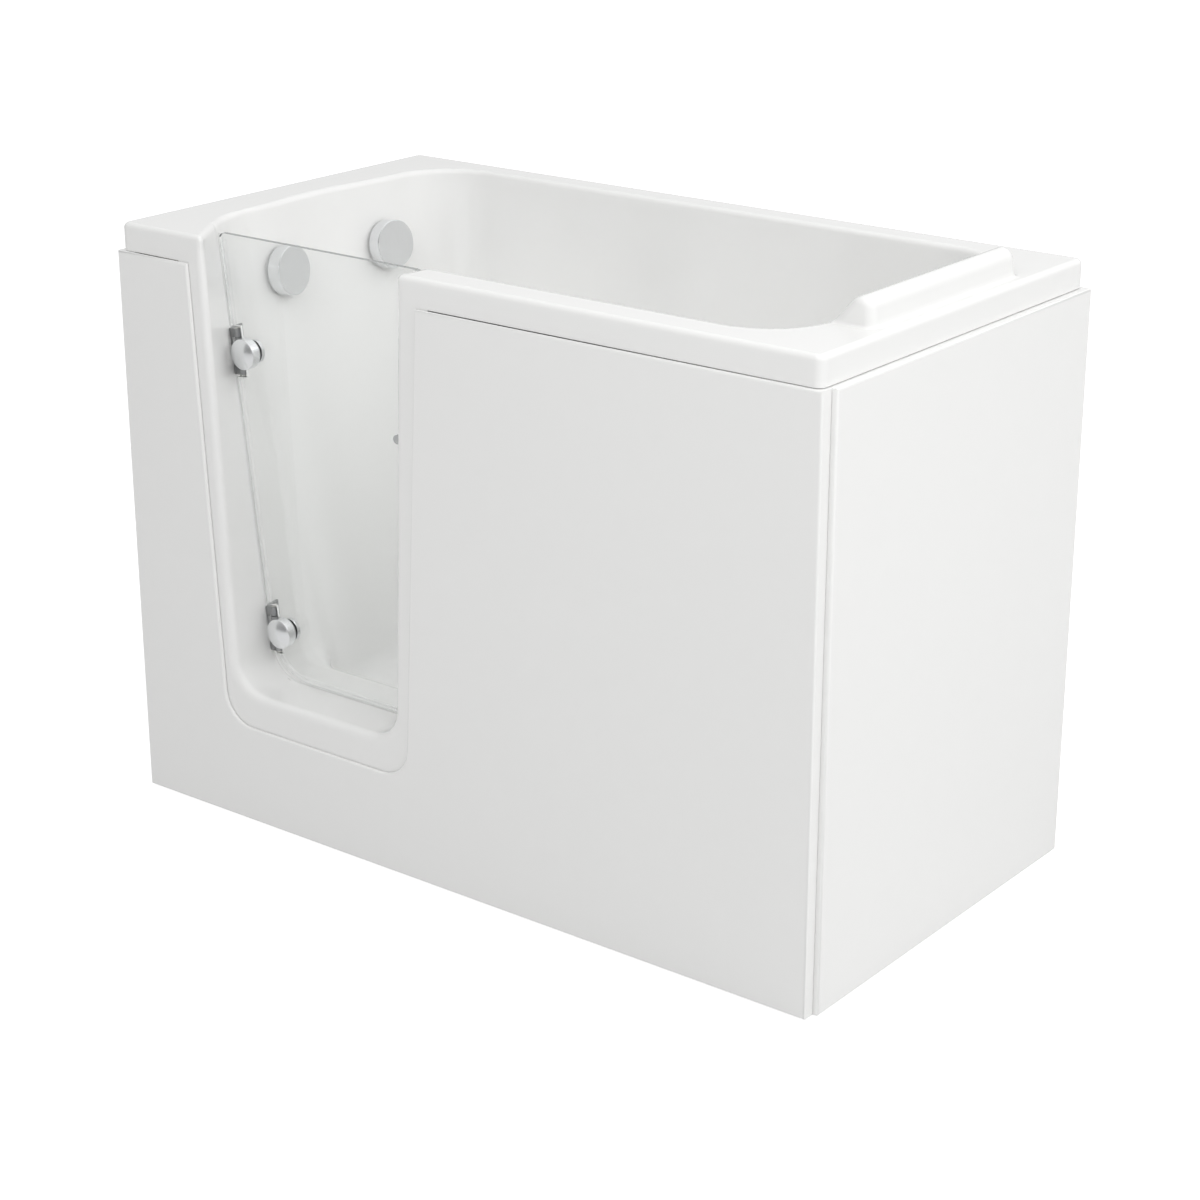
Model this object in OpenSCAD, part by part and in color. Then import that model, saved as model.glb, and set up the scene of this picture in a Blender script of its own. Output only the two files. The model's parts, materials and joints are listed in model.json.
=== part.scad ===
// Compact walk-in bath with an inward-opening glass door, two pop-up wastes and a steel frame.
// Places are in millimetres from the left end of the front panel's face, at floor level:
// X runs to the headrest end, Y to the wall behind and Z up. placed() moves them to the part's
// origin, on the floor under the middle of the bath.

/* [Overall size] */
// Length of the front panel
bath_length = 1210; // [1180:10:1400]
// Width from the front panel's face to the wall behind
bath_width = 650; // [640:10:760]
// Height of the rim's deck above the floor
rim_height = 882; // [870:2:930]

/* [Tub moulding] */
// Thickness of the moulding
shell_wall = 6; // [5:0.5:7]
// Height of the folded skirt under the deck
skirt_height = 40; // [34:1:50]
// How far the skirt stands back from the panels' faces
skirt_inset = 5; // [5:0.5:8]
// Outer corner radius of the rim, seen from above
rim_corner_radius = 12; // [10:1:20]
// Radius of the rim's outer and inner top edges
deck_edge_radius = 8; // [5:1:9]
// Deck width in front of the well
deck_front = 62; // [60:1:70]
// Deck width behind the well
deck_back = 48; // [46:1:70]
// Deck width at the door end
deck_left = 92; // [88:1:110]
// Deck width at the headrest end
deck_right = 92; // [86:1:120]
// Corner radius of the well at the deck
well_corner_radius = 95; // [85:1:105]
// How far the door end's wall bows outwards
end_bow = 12; // [6:1:14]
// Height of the seat above the floor
seat_height = 440; // [420:5:470]
// Distance of the seat's front from the door end
seat_front = 640; // [630:5:680]
// Radius of the seat's front edge
seat_nose_radius = 25; // [15:1:35]
// Radius between the seat and the walls
seat_fillet = 40; // [30:1:50]
// Height of the foot well's floor above the ground
footwell_floor = 120; // [115:1:130]
// Radius between the foot well's floor and its walls
footwell_fillet = 35; // [25:1:38]
// Length of the raised headrest
headrest_length = 356; // [300:2:380]
// Height of the headrest above the deck
headrest_height = 38; // [25:1:50]

/* [Doorway] */
// Left edge of the doorway at the deck
doorway_left = 169; // [160:1:175]
// Width of the doorway at the deck
doorway_width = 363; // [350:1:380]
// Height of the sill above the floor
sill_height = 204; // [200:1:230]
// Corner radius at the foot of the doorway
doorway_radius = 48; // [40:1:55]
// Rounding between the surround and the reveal
reveal_edge_radius = 10; // [6:1:12]
// How far the hinge side's reveal flares out by the glass, at the deck
reveal_flare = 48; // [44:1:50]
// Lean of the hinge side's reveal behind the glass, from upright
hinge_lean = 6.53; // [6:0.1:7]
// Fall of the sill behind the glass
sill_fall = 9; // [8.8:0.1:9.6]
// Visible width of the surround at the door end
surround_left = 30; // [26:1:36]
// Visible width of the surround towards the seat
surround_right = 38; // [30:1:44]
// Visible height of the surround under the sill
surround_bottom = 51; // [44:1:56]

/* [Glass door] */
// Thickness of the glass
glass_thickness = 8; // [6:1:8]
// Distance of the glass from the front panel's face
glass_front = 80; // [78:1:86]
// Gap between the glass edge and the reveal
glass_gap = 5; // [4.5:0.25:6]
// Distance of the glass's top edge below the deck
glass_top_gap = 12; // [8:1:16]
// Radius of the glass's free top corner
glass_top_radius = 40; // [30:1:50]
// Radius of the glass's bottom corner by the hinges, which swings clear of the sill
glass_foot_radius = 78; // [76:1:84]
// Thickness of the seal's lips on the glass
seal_lip = 1.5; // [1:0.25:2]
// Depth of the seal over the glass
seal_cover = 8; // [6:0.5:9]
// Gap between the seal and the reveal
seal_gap = 3.5; // [3.25:0.25:4]

/* [Hinges] */
// Height of the upper hinge
upper_hinge_height = 697.5; // [660:2.5:730]
// Height of the lower hinge
lower_hinge_height = 279.5; // [275:2.5:320]
// Distance of the hinge pins from the reveal
pin_offset = 16; // [15:0.5:17]
// Diameter of the hinge pins
pin_diameter = 8; // [6:0.5:8]
// Diameter of the knuckles
knuckle_diameter = 13; // [12:0.5:13.5]
// Height of the wall plates
hinge_plate_height = 68; // [64:1:70]
// Height of the arms
hinge_arm_height = 41; // [36:1:44]
// Distance of the domed caps from the hinge pins
cap_offset = 24; // [23:0.5:28]
// Diameter of the domed caps
cap_diameter = 45; // [40:1:46]

/* [Latch] */
// Height of the latch
latch_height = 617; // [590:1:640]
// Distance of the latch spindle from the glass's free edge
latch_edge_distance = 30; // [28:1:36]
// Length of the latch handle
latch_handle_length = 55; // [40:1:60]

/* [Wastes] */
// Height of the overflow dials
dial_height = 783; // [740:1:790]
// Distance of the front dial from the bath's middle line
front_dial_offset = 91; // [80:1:100]
// Distance of the back dial from the bath's middle line
back_dial_offset = 133; // [115:1:140]
// Diameter of the dials
dial_diameter = 74; // [66:1:78]
// Thickness of the dials
dial_thickness = 21; // [14:1:22]
// Distance of both wastes from the door end
waste_place = 275; // [270:1:300]
// Distance of the front waste behind the bath's middle line
front_waste_offset = 5; // [0:1:15]
// Diameter of the waste flanges
waste_flange_diameter = 70; // [64:1:74]
// Diameter of the waste pipes
waste_pipe_diameter = 40; // [36:1:40]
// Diameter of the outlet's spigot
outlet_diameter = 43; // [41.5:0.5:44]
// Diameter of the overflow pipes
overflow_pipe_diameter = 22; // [18:1:24]
// How far the plugs lift
plug_lift = 12; // [8:1:15]

/* [Frame and feet] */
// Side of the square steel tubes
tube_side = 30; // [25:1:30]
// Wall of the square steel tubes
tube_wall = 2.5; // [2:0.25:3]
// Thickness of the base board and the seat board
board_thickness = 18; // [15:1:20]
// Thickness of the battens under the rim
batten_thickness = 25; // [18:1:30]
// Diameter of the feet's studs
foot_stud_diameter = 12; // [10:1:12]
// Diameter of the feet's pads
foot_pad_diameter = 34; // [28:1:36]

/* [Panels] */
// Thickness of the panels' skin
panel_skin = 4; // [3:0.5:4.5]
// Depth of the panels' folded edges
panel_fold = 20; // [15:1:22]
// How far the end panel stands proud of the front panel's end
end_panel_proud = 8.7; // [6:0.1:10]
// Gap under the panels
panel_floor_gap = 2; // [1:0.5:6]

/* [Hidden] */
$fn = 48;

acrylic = "white";
steel = "lightsteelblue";
chrome = "silver";
plastic = "gainsboro";
brass = "goldenrod";
rubber = "dimgray";
timber = "burlywood";

// Running gap of turning and sliding fits, on the radius
running_gap = 0.05;
// Gap round a piece that is let into another
fit_gap = 0.1;
// Gap between pieces that must not rub
free_gap = 0.5;
// Arc steps of a quarter turn, on the moulding and on outlines
corner_steps = 6;
lip_steps = 3;
bow_steps = 6;
// How far a cutting shape runs past the face it cuts
past = 1;
middle_line = bath_width / 2;
front_dial_y = middle_line - front_dial_offset;
back_dial_y = middle_line + back_dial_offset;
front_waste_y = middle_line + front_waste_offset;

// ---- the well's walls, as functions of height -------------------------------------------------
end_draft = tan(hinge_lean);
front_draft = 0.2;
back_draft = 0.06;
backrest_draft = 0.1;
nose_draft = 0.08;
corner_taper = 0.065;

function depth(z) = rim_height - z;
function well_left(z) = deck_left + end_draft * depth(z);
function well_right(z) = bath_length - deck_right - backrest_draft * depth(z);
function well_front(z) = deck_front + front_draft * depth(z);
function well_back(z) = bath_width - deck_back - back_draft * depth(z);
function well_radius(z) = well_corner_radius - corner_taper * depth(z);
function seat_nose(z) = seat_front - nose_draft * (seat_height - z);

function corner_arc(cx, cy, r, from) = [for (i = [0:corner_steps])
    [cx + r * cos(from + 90 * i / corner_steps), cy + r * sin(from + 90 * i / corner_steps)]];

// One level of the well: a rounded outline whose door end bows outwards
function well_ring(z, right, inset) =
    let (left = well_left(z) + inset, far = right - inset, front = well_front(z) + inset,
        back = well_back(z) - inset, r = well_radius(z) - inset,
        middle = (front + back) / 2, half = (back - front) / 2 - r)
    [for (p = concat(
        corner_arc(far - r, front + r, r, -90),
        corner_arc(far - r, back - r, r, 0),
        corner_arc(left + r, back - r, r, 90),
        [for (i = [1:bow_steps - 1]) let (t = 1 - 2 * i / bow_steps)
            [left - end_bow * (1 + cos(180 * t)) / 2, middle + t * half]],
        corner_arc(left + r, front + r, r, 180))) [p.x, p.y, z]];

// Solid through a list of outlines with equal numbers of points. Seen from outside its first
// outline, each outline runs anticlockwise.
module loft(rings) {
    count = len(rings[0]);
    levels = len(rings);
    polyhedron(
        points = [for (ring = rings) each ring],
        faces = concat(
            [[for (i = [count - 1:-1:0]) i]],
            [for (k = [0:levels - 2], i = [0:count - 1])
                [k * count + i, k * count + (i + 1) % count,
                 (k + 1) * count + (i + 1) % count, (k + 1) * count + i]],
            [[for (i = [0:count - 1]) (levels - 1) * count + i]]),
        convexity = 6);
}

// Levels of a rounded floor edge, from its wall down to its flat; grow is 0 for the inner face
function fillet_levels(floor_z, radius, grow) = [for (i = [0:corner_steps - 1])
    let (a = 90 * (i + 1) / corner_steps)
    [floor_z - grow + (radius + grow) * (1 - sin(a)), (radius + grow) * (1 - cos(a)) - grow]];

// Cavity above the seat, with its rounded top edge
function seat_space_rings() = concat(
    [well_ring(rim_height + past, well_right(rim_height), -deck_edge_radius)],
    [for (i = [0:lip_steps]) let (a = 90 * i / lip_steps, z = rim_height - deck_edge_radius * (1 - cos(a)))
        well_ring(z, well_right(z), -deck_edge_radius * (1 - sin(a)))],
    [well_ring(seat_height + seat_fillet, well_right(seat_height + seat_fillet), 0)],
    [for (level = fillet_levels(seat_height, seat_fillet, 0))
        well_ring(level[0], well_right(level[0]), level[1])]);

// The same walls, outside the moulding
function seat_space_outer_rings() = concat(
    [well_ring(rim_height - shell_wall / 2, well_right(rim_height), -shell_wall)],
    [well_ring(seat_height + seat_fillet, well_right(seat_height + seat_fillet), -shell_wall)],
    [for (level = fillet_levels(seat_height, seat_fillet, shell_wall))
        well_ring(level[0], well_right(level[0]), level[1])]);

// Foot well under the seat's level: grow is 0 for the cavity and the wall for the outside
function foot_well_rings(grow) =
    let (top = seat_height + seat_fillet + past, nose = seat_nose_radius - grow,
        nose_z = seat_height - grow)
    concat(
    [well_ring(top, seat_front + nose + grow, -grow)],
    [for (i = [0:lip_steps]) let (a = 90 * i / lip_steps, z = nose_z - nose * (1 - cos(a)))
        well_ring(z, seat_nose(z) + nose * (1 - sin(a)), -grow)],
    [well_ring(footwell_floor + footwell_fillet, seat_nose(footwell_floor + footwell_fillet), -grow)],
    [for (level = fillet_levels(footwell_floor, footwell_fillet, grow))
        well_ring(level[0], seat_nose(level[0]), level[1])]);

// ---- the doorway's walls, as functions of the distance from the front -------------------------
doorway_right = doorway_left + doorway_width;
front_lean = 2.2;
latch_lean = 2.6;
glass_middle = glass_front + glass_thickness / 2;
// The reveal behind the glass is one plane that recedes at this rate until it meets the well
reveal_rate = 0.3;
reveal_end = glass_front + (doorway_left - reveal_flare - deck_left) / reveal_rate;
// The doorway's cutting shape ends inside the well
tunnel_end = well_front(sill_height) + 45;
latch_flare = 9;
latch_rate = 0.16;
sill_flat_end = glass_front + glass_thickness + 4;
sill_step = 1;

function reveal_left(y) = lookup(y, [[skirt_inset, doorway_left],
    [glass_front, doorway_left - reveal_flare], [reveal_end, deck_left],
    [tunnel_end, deck_left + shell_wall + 2]]);
function left_slope(y) = lookup(y, [[skirt_inset, tan(front_lean)], [glass_front, end_draft]]);
function reveal_right(y) = lookup(y, [[skirt_inset, doorway_right],
    [glass_front, doorway_right + latch_flare],
    [tunnel_end, doorway_right + latch_flare + latch_rate * (tunnel_end - glass_front)]]);
function right_slope(y) = lookup(y, [[skirt_inset, tan(front_lean)], [glass_front, tan(latch_lean)]]);
function sill(y) = lookup(y, [[skirt_inset, sill_height], [glass_front, sill_height - sill_step],
    [sill_flat_end, sill_height - sill_step],
    [tunnel_end, sill_height - sill_step - tan(sill_fall) * (tunnel_end - sill_flat_end)]]);
function hinge_side(y, z) = reveal_left(y) + left_slope(y) * depth(z);
function latch_side(y, z) = reveal_right(y) - right_slope(y) * depth(z);

function unit(v) = v / norm(v);
// Arc that rounds a corner p between its neighbours a and b
function rounded_corner(p, a, b, r, steps) =
    let (u = unit(a - p), w = unit(b - p), half = acos(u * w) / 2,
        centre = p + unit(u + w) * r / sin(half),
        start = p + u * r / tan(half) - centre, end = p + w * r / tan(half) - centre,
        from = atan2(start.y, start.x), to = atan2(end.y, end.x),
        turn = (to - from + 540) % 360 - 180)
    [for (i = [0:steps]) centre + r * [cos(from + turn * i / steps), sin(from + turn * i / steps)]];

// U-shaped outline [x, z] from its left top corner: edges at the deck, their slopes, its foot,
// its foot's two radii, how far it is grown and its top
function u_outline(left, lean_left, right, lean_right, foot, radii, grow, top) =
    let (x0 = left - grow * sqrt(1 + lean_left * lean_left),
        x1 = right + grow * sqrt(1 + lean_right * lean_right), z0 = foot - grow,
        tl = [x0 + lean_left * depth(top), top], bl = [x0 + lean_left * depth(z0), z0],
        br = [x1 - lean_right * depth(z0), z0], tr = [x1 - lean_right * depth(top), top])
    concat([tl], rounded_corner(bl, tl, br, radii[0] + grow, corner_steps),
        rounded_corner(br, bl, tr, radii[1] + grow, corner_steps), [tr]);

function doorway_outline(y, grow, top) = u_outline(reveal_left(y), left_slope(y),
    reveal_right(y), right_slope(y), sill(y), [doorway_radius, doorway_radius], grow, top);

// Rounded lip of the doorway at the deck, on one side: side is -1 on the left and 1 on the right
function lip_points(edge, side) = [for (i = [0:lip_steps]) let (a = 90 * i / lip_steps)
    [edge + side * deck_edge_radius * (1 - cos(a)), rim_height - deck_edge_radius * (1 - sin(a))]];

function doorway_ring(y, grow) =
    let (outline = doorway_outline(y, grow, rim_height - deck_edge_radius),
        lip_left = lip_points(outline[0].x, -1), lip_right = lip_points(outline[len(outline) - 1].x, 1))
    [for (p = concat(
        [[lip_left[lip_steps].x, rim_height + past]],
        [for (i = [lip_steps:-1:1]) lip_left[i]],
        outline,
        [for (i = [1:lip_steps]) lip_right[i]],
        [[lip_right[lip_steps].x, rim_height + past]])) [p.x, y, p[1]]];

module doorway_cut() loft(concat(
    [doorway_ring(skirt_inset - past, reveal_edge_radius)],
    [for (i = [0:lip_steps]) let (a = 90 * i / lip_steps)
        doorway_ring(skirt_inset + reveal_edge_radius * (1 - cos(a)), reveal_edge_radius * (1 - sin(a)))],
    [for (y = [glass_front, sill_flat_end, reveal_end, tunnel_end]) doorway_ring(y, 0)]));

module doorway_outer() loft([for (y = [skirt_inset, glass_front, sill_flat_end, reveal_end - shell_wall])
    [for (p = doorway_outline(y, shell_wall, rim_height - shell_wall / 2)) [p.x, y, p[1]]]]);

// Plate upright in the X-Z plane: its front, its thickness and its outline
module upright(front, thickness, outline)
    translate([0, front + thickness, 0]) rotate([90, 0, 0]) linear_extrude(thickness) polygon(outline);

// ---- the panel's cut-out, which the surround fills --------------------------------------------
cutout_lean = tan(3.05);
function cutout_outline(grow, top) = u_outline(doorway_left - surround_left, cutout_lean,
    doorway_right + surround_right, cutout_lean, sill_height - surround_bottom,
    [doorway_radius + 2, doorway_radius + 2], grow, top);
panel_lap = 20;
surround_outer_left = doorway_left - surround_left - panel_lap;
surround_outer_right = doorway_right + surround_right + panel_lap;

module surround()
    upright(skirt_inset, shell_wall, cutout_outline(panel_lap, rim_height - deck_edge_radius));

function rim_ring(z, inset) =
    let (x0 = skirt_inset + inset, x1 = bath_length - skirt_inset - inset, y0 = skirt_inset + inset,
        y1 = bath_width - inset, r = rim_corner_radius - inset)
    [for (p = concat(corner_arc(x1 - r, y0 + r, r, -90), corner_arc(x1 - r, y1 - r, r, 0),
        corner_arc(x0 + r, y1 - r, r, 90), corner_arc(x0 + r, y0 + r, r, 180))) [p.x, p.y, z]];

skirt_foot = rim_height - skirt_height;
deck_underside = rim_height - shell_wall;
module rim() difference() {
    loft(concat(
        [for (i = [lip_steps:-1:0]) let (a = 90 * i / lip_steps)
            rim_ring(rim_height - deck_edge_radius * (1 - sin(a)), deck_edge_radius * (1 - cos(a)))],
        [rim_ring(skirt_foot, 0)]));
    translate([0, 0, skirt_foot - past]) linear_extrude(deck_underside - skirt_foot + past)
        polygon([for (p = rim_ring(0, shell_wall)) [p.x, p.y]]);
}

// Headrest: a ridge that carries the well's end wall on above the deck
headrest_middle = middle_line;
module headrest() {
    foot_z = rim_height - deck_edge_radius;
    inner = well_right(foot_z);
    outer = bath_length - skirt_inset - deck_edge_radius + 1;
    ridge = inner + (outer - inner) * 0.6;
    top = rim_height + headrest_height;
    deck_middle = rim_height - shell_wall / 2;
    profile = [[inner, foot_z], [inner + shell_wall, foot_z], [inner + shell_wall, deck_middle],
        [outer, deck_middle], [outer, rim_height], [ridge + 11, top - 4], [ridge + 5, top - 1],
        [ridge, top], [ridge - 7, top - 2], [ridge - 15, top - 8], [inner + 12, rim_height + 10],
        [inner + 3, rim_height - 2]];
    round_end = 12;
    intersection() {
        translate([0, headrest_middle - headrest_length / 2, 0])
            upright(0, headrest_length, profile);
        translate([0, headrest_middle, foot_z]) linear_extrude(headrest_height + deck_edge_radius)
            polygon(concat(
                corner_arc(outer - round_end, round_end - headrest_length / 2, round_end, -90),
                corner_arc(outer - round_end, headrest_length / 2 - round_end, round_end, 0),
                corner_arc(inner + round_end, headrest_length / 2 - round_end, round_end, 90),
                corner_arc(inner + round_end, round_end - headrest_length / 2, round_end, 180)));
    }
}

// ---- frames of the fittings -------------------------------------------------------------------
// Hinge: origin on the reveal in the glass's plane, Z along the pin, X across the glass
module at_hinge(height)
    translate([hinge_side(glass_middle, height), glass_middle, height])
        rotate([0, -hinge_lean, 0]) children();
reveal_turn = atan(reveal_rate * cos(hinge_lean));
hinge_heights = [upper_hinge_height, lower_hinge_height];
hinge_screw_spacing = hinge_plate_height - 2 * 9;
hinge_plate_width = 38;
hinge_plate_thickness = 3.5;
hinge_screw_place = 26;
module at_hinge_screws() for (height = hinge_heights, side = [-1, 1]) at_hinge(height)
    rotate([0, 0, reveal_turn]) translate([0, hinge_screw_place, side * hinge_screw_spacing / 2])
        rotate([0, 90, 0]) children();

// Overflow: origin on the end wall's inner face, Z into the well
dial_places = [front_dial_y, back_dial_y];
function bow_at(y, z) =
    let (front = well_front(z), back = well_back(z), r = well_radius(z), half = (back - front) / 2 - r,
        t = (y - (front + back) / 2) / half)
    abs(t) < 1 ? end_bow * (1 + cos(180 * t)) / 2 : 0;
function end_wall(y, z) = well_left(z) - bow_at(y, z);
function end_wall_turn(y, z) = atan(-(end_wall(y + 5, z) - end_wall(y - 5, z)) / 10);
module at_overflow(place) translate([end_wall(place, dial_height), place, dial_height])
    rotate([0, 0, end_wall_turn(place, dial_height)]) rotate([0, 90 - hinge_lean, 0]) children();

overflow_collar_radius = 30;
overflow_pad_radius = 33;
overflow_tail_radius = 19;
overflow_seat = -2;
overflow_pad_depth = -11;
gasket_thickness = 1.5;

waste_places = [front_waste_y, back_dial_y];
waste_tail_radius = 22;
waste_hole_radius = waste_tail_radius + free_gap;
floor_underside = footwell_floor - shell_wall;

// Latch: spindle in the glass near its free edge
latch_x = latch_side(glass_middle, latch_height) - glass_gap - latch_edge_distance;
spindle_radius = 5;
cam_front = glass_front + glass_thickness + 4.5;
cam_thickness = 4;
cam_reach = latch_side(cam_front, latch_height) - latch_x + 14;
cam_half_width = 6;
keep_drop = cam_reach * 0.75;
keep_width = cam_thickness + 6;
keep_middle = cam_front + cam_thickness / 2;
keep_depth = 24;
keep_wall = 2;
// How far the keep's shapes start in front of the reveal, which then trims them
keep_lead = 12;

// Space for the keep: the frame lies on the latch side's reveal
module keep_block(grow, from_x, to_x)
    translate([from_x, keep_middle - keep_width / 2 - grow, latch_height - keep_drop - grow])
        cube([to_x - from_x, keep_width + 2 * grow, keep_drop + 2 * cam_half_width + 2 * grow]);
keep_face = latch_side(keep_middle - keep_width / 2, latch_height - keep_drop);

// ---- the moulding -----------------------------------------------------------------------------
module tub_shell() color(acrylic) {
    difference() {
        union() {
            rim();
            loft(seat_space_outer_rings());
            loft(foot_well_rings(shell_wall));
            doorway_outer();
            surround();
            for (place = dial_places) at_overflow(place)
                translate([0, 0, overflow_pad_depth])
                    cylinder(r = overflow_pad_radius, h = -overflow_pad_depth - shell_wall / 2);
        }
        loft(seat_space_rings());
        loft(foot_well_rings(0));
        doorway_cut();
        for (place = dial_places) at_overflow(place) {
            translate([0, 0, overflow_pad_depth - past])
                cylinder(r = overflow_tail_radius + free_gap, h = -overflow_pad_depth + 3 * past);
            translate([0, 0, overflow_seat])
                cylinder(r = overflow_collar_radius + free_gap, h = 10);
        }
        for (place = waste_places) translate([waste_place, place, floor_underside - past])
            cylinder(r = waste_hole_radius, h = shell_wall + 2 * past);
        at_hinge_screws() translate([0, 0, -shell_wall - 4]) cylinder(r = 2.6, h = shell_wall + 6);
        keep_block(keep_wall + fit_gap, keep_face - keep_lead, keep_face + keep_depth + fit_gap);
    }
    headrest();
}

// ---- boards, battens and the steel frame ------------------------------------------------------
board_top = floor_underside;
rail_top = board_top - board_thickness;
rail_bottom = rail_top - tube_side;
rail_front = panel_fold + 4;
rail_back = bath_width - 12 - tube_side;
frame_left = 12;
frame_right = bath_length - 20;
seat_board_top = seat_height - shell_wall;
batten_bottom = deck_underside - batten_thickness;

module base_board() color(timber) difference() {
    translate([waste_place - 110, rail_front, rail_top])
        cube([seat_front - waste_place + 115, rail_back + tube_side - rail_front, board_thickness]);
    for (place = waste_places) translate([waste_place, place, rail_top - past])
        cylinder(r = waste_body_radius + 4, h = board_thickness + 2 * past);
}

seat_board_left = seat_front + seat_nose_radius + 5;
seat_board_right = well_right(seat_height) + 10;
module seat_board() color(timber)
    translate([seat_board_left, rail_front, seat_board_top - board_thickness])
        cube([seat_board_right - seat_board_left, rail_back + tube_side - rail_front, board_thickness]);

// Square tube with its corner at the origin, along X
module tube_x(length) difference() {
    cube([length, tube_side, tube_side]);
    translate([-past, tube_wall, tube_wall])
        cube([length + 2 * past, tube_side - 2 * tube_wall, tube_side - 2 * tube_wall]);
}
// The same along Z
module tube_z(length) difference() {
    cube([tube_side, tube_side, length]);
    translate([tube_wall, tube_wall, -past])
        cube([tube_side - 2 * tube_wall, tube_side - 2 * tube_wall, length + 2 * past]);
}

cross_places = [frame_left, seat_front + 15, frame_right - tube_side];
bolt_radius = 4;
foot_places = [frame_left + tube_side + 30, frame_right - tube_side - 30];
module rail(y) difference() {
    translate([frame_left, y, rail_bottom]) tube_x(frame_right - frame_left);
    for (x = foot_places) translate([x, y + tube_side / 2, rail_bottom - past])
        cylinder(r = foot_stud_diameter / 2 + free_gap, h = tube_wall + 2 * past);
    for (x = cross_places) translate([x + tube_side / 2, y - past, rail_bottom + tube_side / 2])
        rotate([-90, 0, 0]) cylinder(r = bolt_radius + 0.2, h = tube_side + 2 * past);
}
module front_rail() color(steel) rail(rail_front);
module back_rail() color(steel) rail(rail_back);

end_plate = 4;
module cross_member(x) color(steel) {
    start = rail_front + tube_side;
    length = rail_back - start;
    difference() {
        union() {
            translate([x, start, rail_bottom]) mirror([1, -1, 0]) tube_x(length);
            for (y = [start, rail_back - end_plate]) translate([x, y, rail_bottom])
                cube([tube_side, end_plate, tube_side]);
        }
        for (y = [start - past, rail_back - end_plate - past])
            translate([x + tube_side / 2, y, rail_bottom + tube_side / 2]) rotate([-90, 0, 0])
                cylinder(r = bolt_radius + running_gap, h = end_plate + 2 * past);
    }
}
module left_cross_member() cross_member(cross_places[0]);
module middle_cross_member() cross_member(cross_places[1]);
module right_cross_member() cross_member(cross_places[2]);

module frame_bolt() {
    cylinder(r = 7.5, h = 5, $fn = 6);
    cylinder(r = bolt_radius, h = 5 + tube_side + end_plate + 3);
}
module frame_bolts() color(steel) for (x = cross_places) {
    translate([x + tube_side / 2, rail_front - 5, rail_bottom + tube_side / 2]) rotate([-90, 0, 0])
        frame_bolt();
    translate([x + tube_side / 2, rail_back + tube_side + 5, rail_bottom + tube_side / 2])
        rotate([90, 0, 0]) frame_bolt();
}

module corner_posts() color(steel)
    for (x = [frame_left, frame_right - tube_side], y = [rail_front, rail_back])
        translate([x, y, rail_top]) tube_z(batten_bottom - rail_top);
module seat_posts() color(steel)
    for (x = [seat_board_left + 20, seat_board_right - 20 - tube_side], y = [rail_front, rail_back])
        translate([x, y, rail_top]) tube_z(seat_board_top - board_thickness - rail_top);

rim_inside_left = skirt_inset + shell_wall + 1;
rim_inside_right = bath_length - rim_inside_left;
front_batten_front = rim_inside_left + 2;
front_batten_back = deck_front - shell_wall - 2;
back_batten_front = well_back(rim_height) + shell_wall + 1;
module batten(x0, x1, y0, y1) color(timber) translate([x0, y0, batten_bottom])
    cube([x1 - x0, y1 - y0, batten_thickness]);
module front_rim_battens() {
    batten(rim_inside_left, surround_outer_left - 6, front_batten_front, front_batten_back);
    batten(surround_outer_right + 6, rim_inside_right, front_batten_front, front_batten_back);
}
module back_rim_batten() batten(rim_inside_left + rim_corner_radius / 2,
    rim_inside_right - rim_corner_radius / 2, back_batten_front, bath_width - shell_wall - 1);
side_batten_width = 40;
module side_rim_battens() {
    batten(rim_inside_left, rim_inside_left + side_batten_width, front_batten_back, back_batten_front);
    batten(rim_inside_right - side_batten_width, rim_inside_right, front_batten_back, back_batten_front);
}

// ---- feet -------------------------------------------------------------------------------------
stud_radius = foot_stud_diameter / 2;
pad_height = 10;
nut_height = 9;
nut_radius = stud_radius * 1.83;
module at_feet() for (x = foot_places, y = [rail_front, rail_back])
    translate([x, y + tube_side / 2, 0]) children();
module stud_nut(z) difference() {
    translate([0, 0, z]) cylinder(r = nut_radius, h = nut_height, $fn = 6);
    translate([0, 0, z - past]) cylinder(r = stud_radius + running_gap, h = nut_height + 2 * past);
}
module foot_weld_nuts() color(steel) at_feet() stud_nut(rail_bottom + tube_wall);
module foot_locknuts() color(steel) at_feet() stud_nut(rail_bottom - nut_height);
module foot(x, y) translate([x, y + tube_side / 2, 0]) {
    color(rubber) cylinder(r = foot_pad_diameter / 2, h = pad_height - 4);
    color(rubber) translate([0, 0, pad_height - 4])
        cylinder(r1 = foot_pad_diameter / 2, r2 = nut_radius, h = 4);
    color(steel) translate([0, 0, pad_height / 2])
        cylinder(r = stud_radius, h = rail_top - tube_wall - 2 - pad_height / 2);
}
module front_left_foot() foot(foot_places[0], rail_front);
module back_left_foot() foot(foot_places[0], rail_back);
module front_right_foot() foot(foot_places[1], rail_front);
module back_right_foot() foot(foot_places[1], rail_back);

// ---- panels -----------------------------------------------------------------------------------
panel_joint = 1;
panel_top = skirt_foot - panel_joint;
module front_panel() color(acrylic) difference() {
    translate([0, 0, panel_floor_gap]) cube([bath_length, panel_fold, panel_top - panel_floor_gap]);
    translate([panel_skin, panel_skin, panel_floor_gap + panel_skin])
        cube([bath_length - 2 * panel_skin, panel_fold, panel_top - panel_floor_gap - 2 * panel_skin]);
    upright(-past, panel_skin + 2 * past, cutout_outline(0, rim_height));
    translate([surround_outer_left - 4, panel_skin, panel_top - 3 * panel_skin])
        cube([surround_outer_right - surround_outer_left + 8, panel_fold, 4 * panel_skin]);
}

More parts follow.
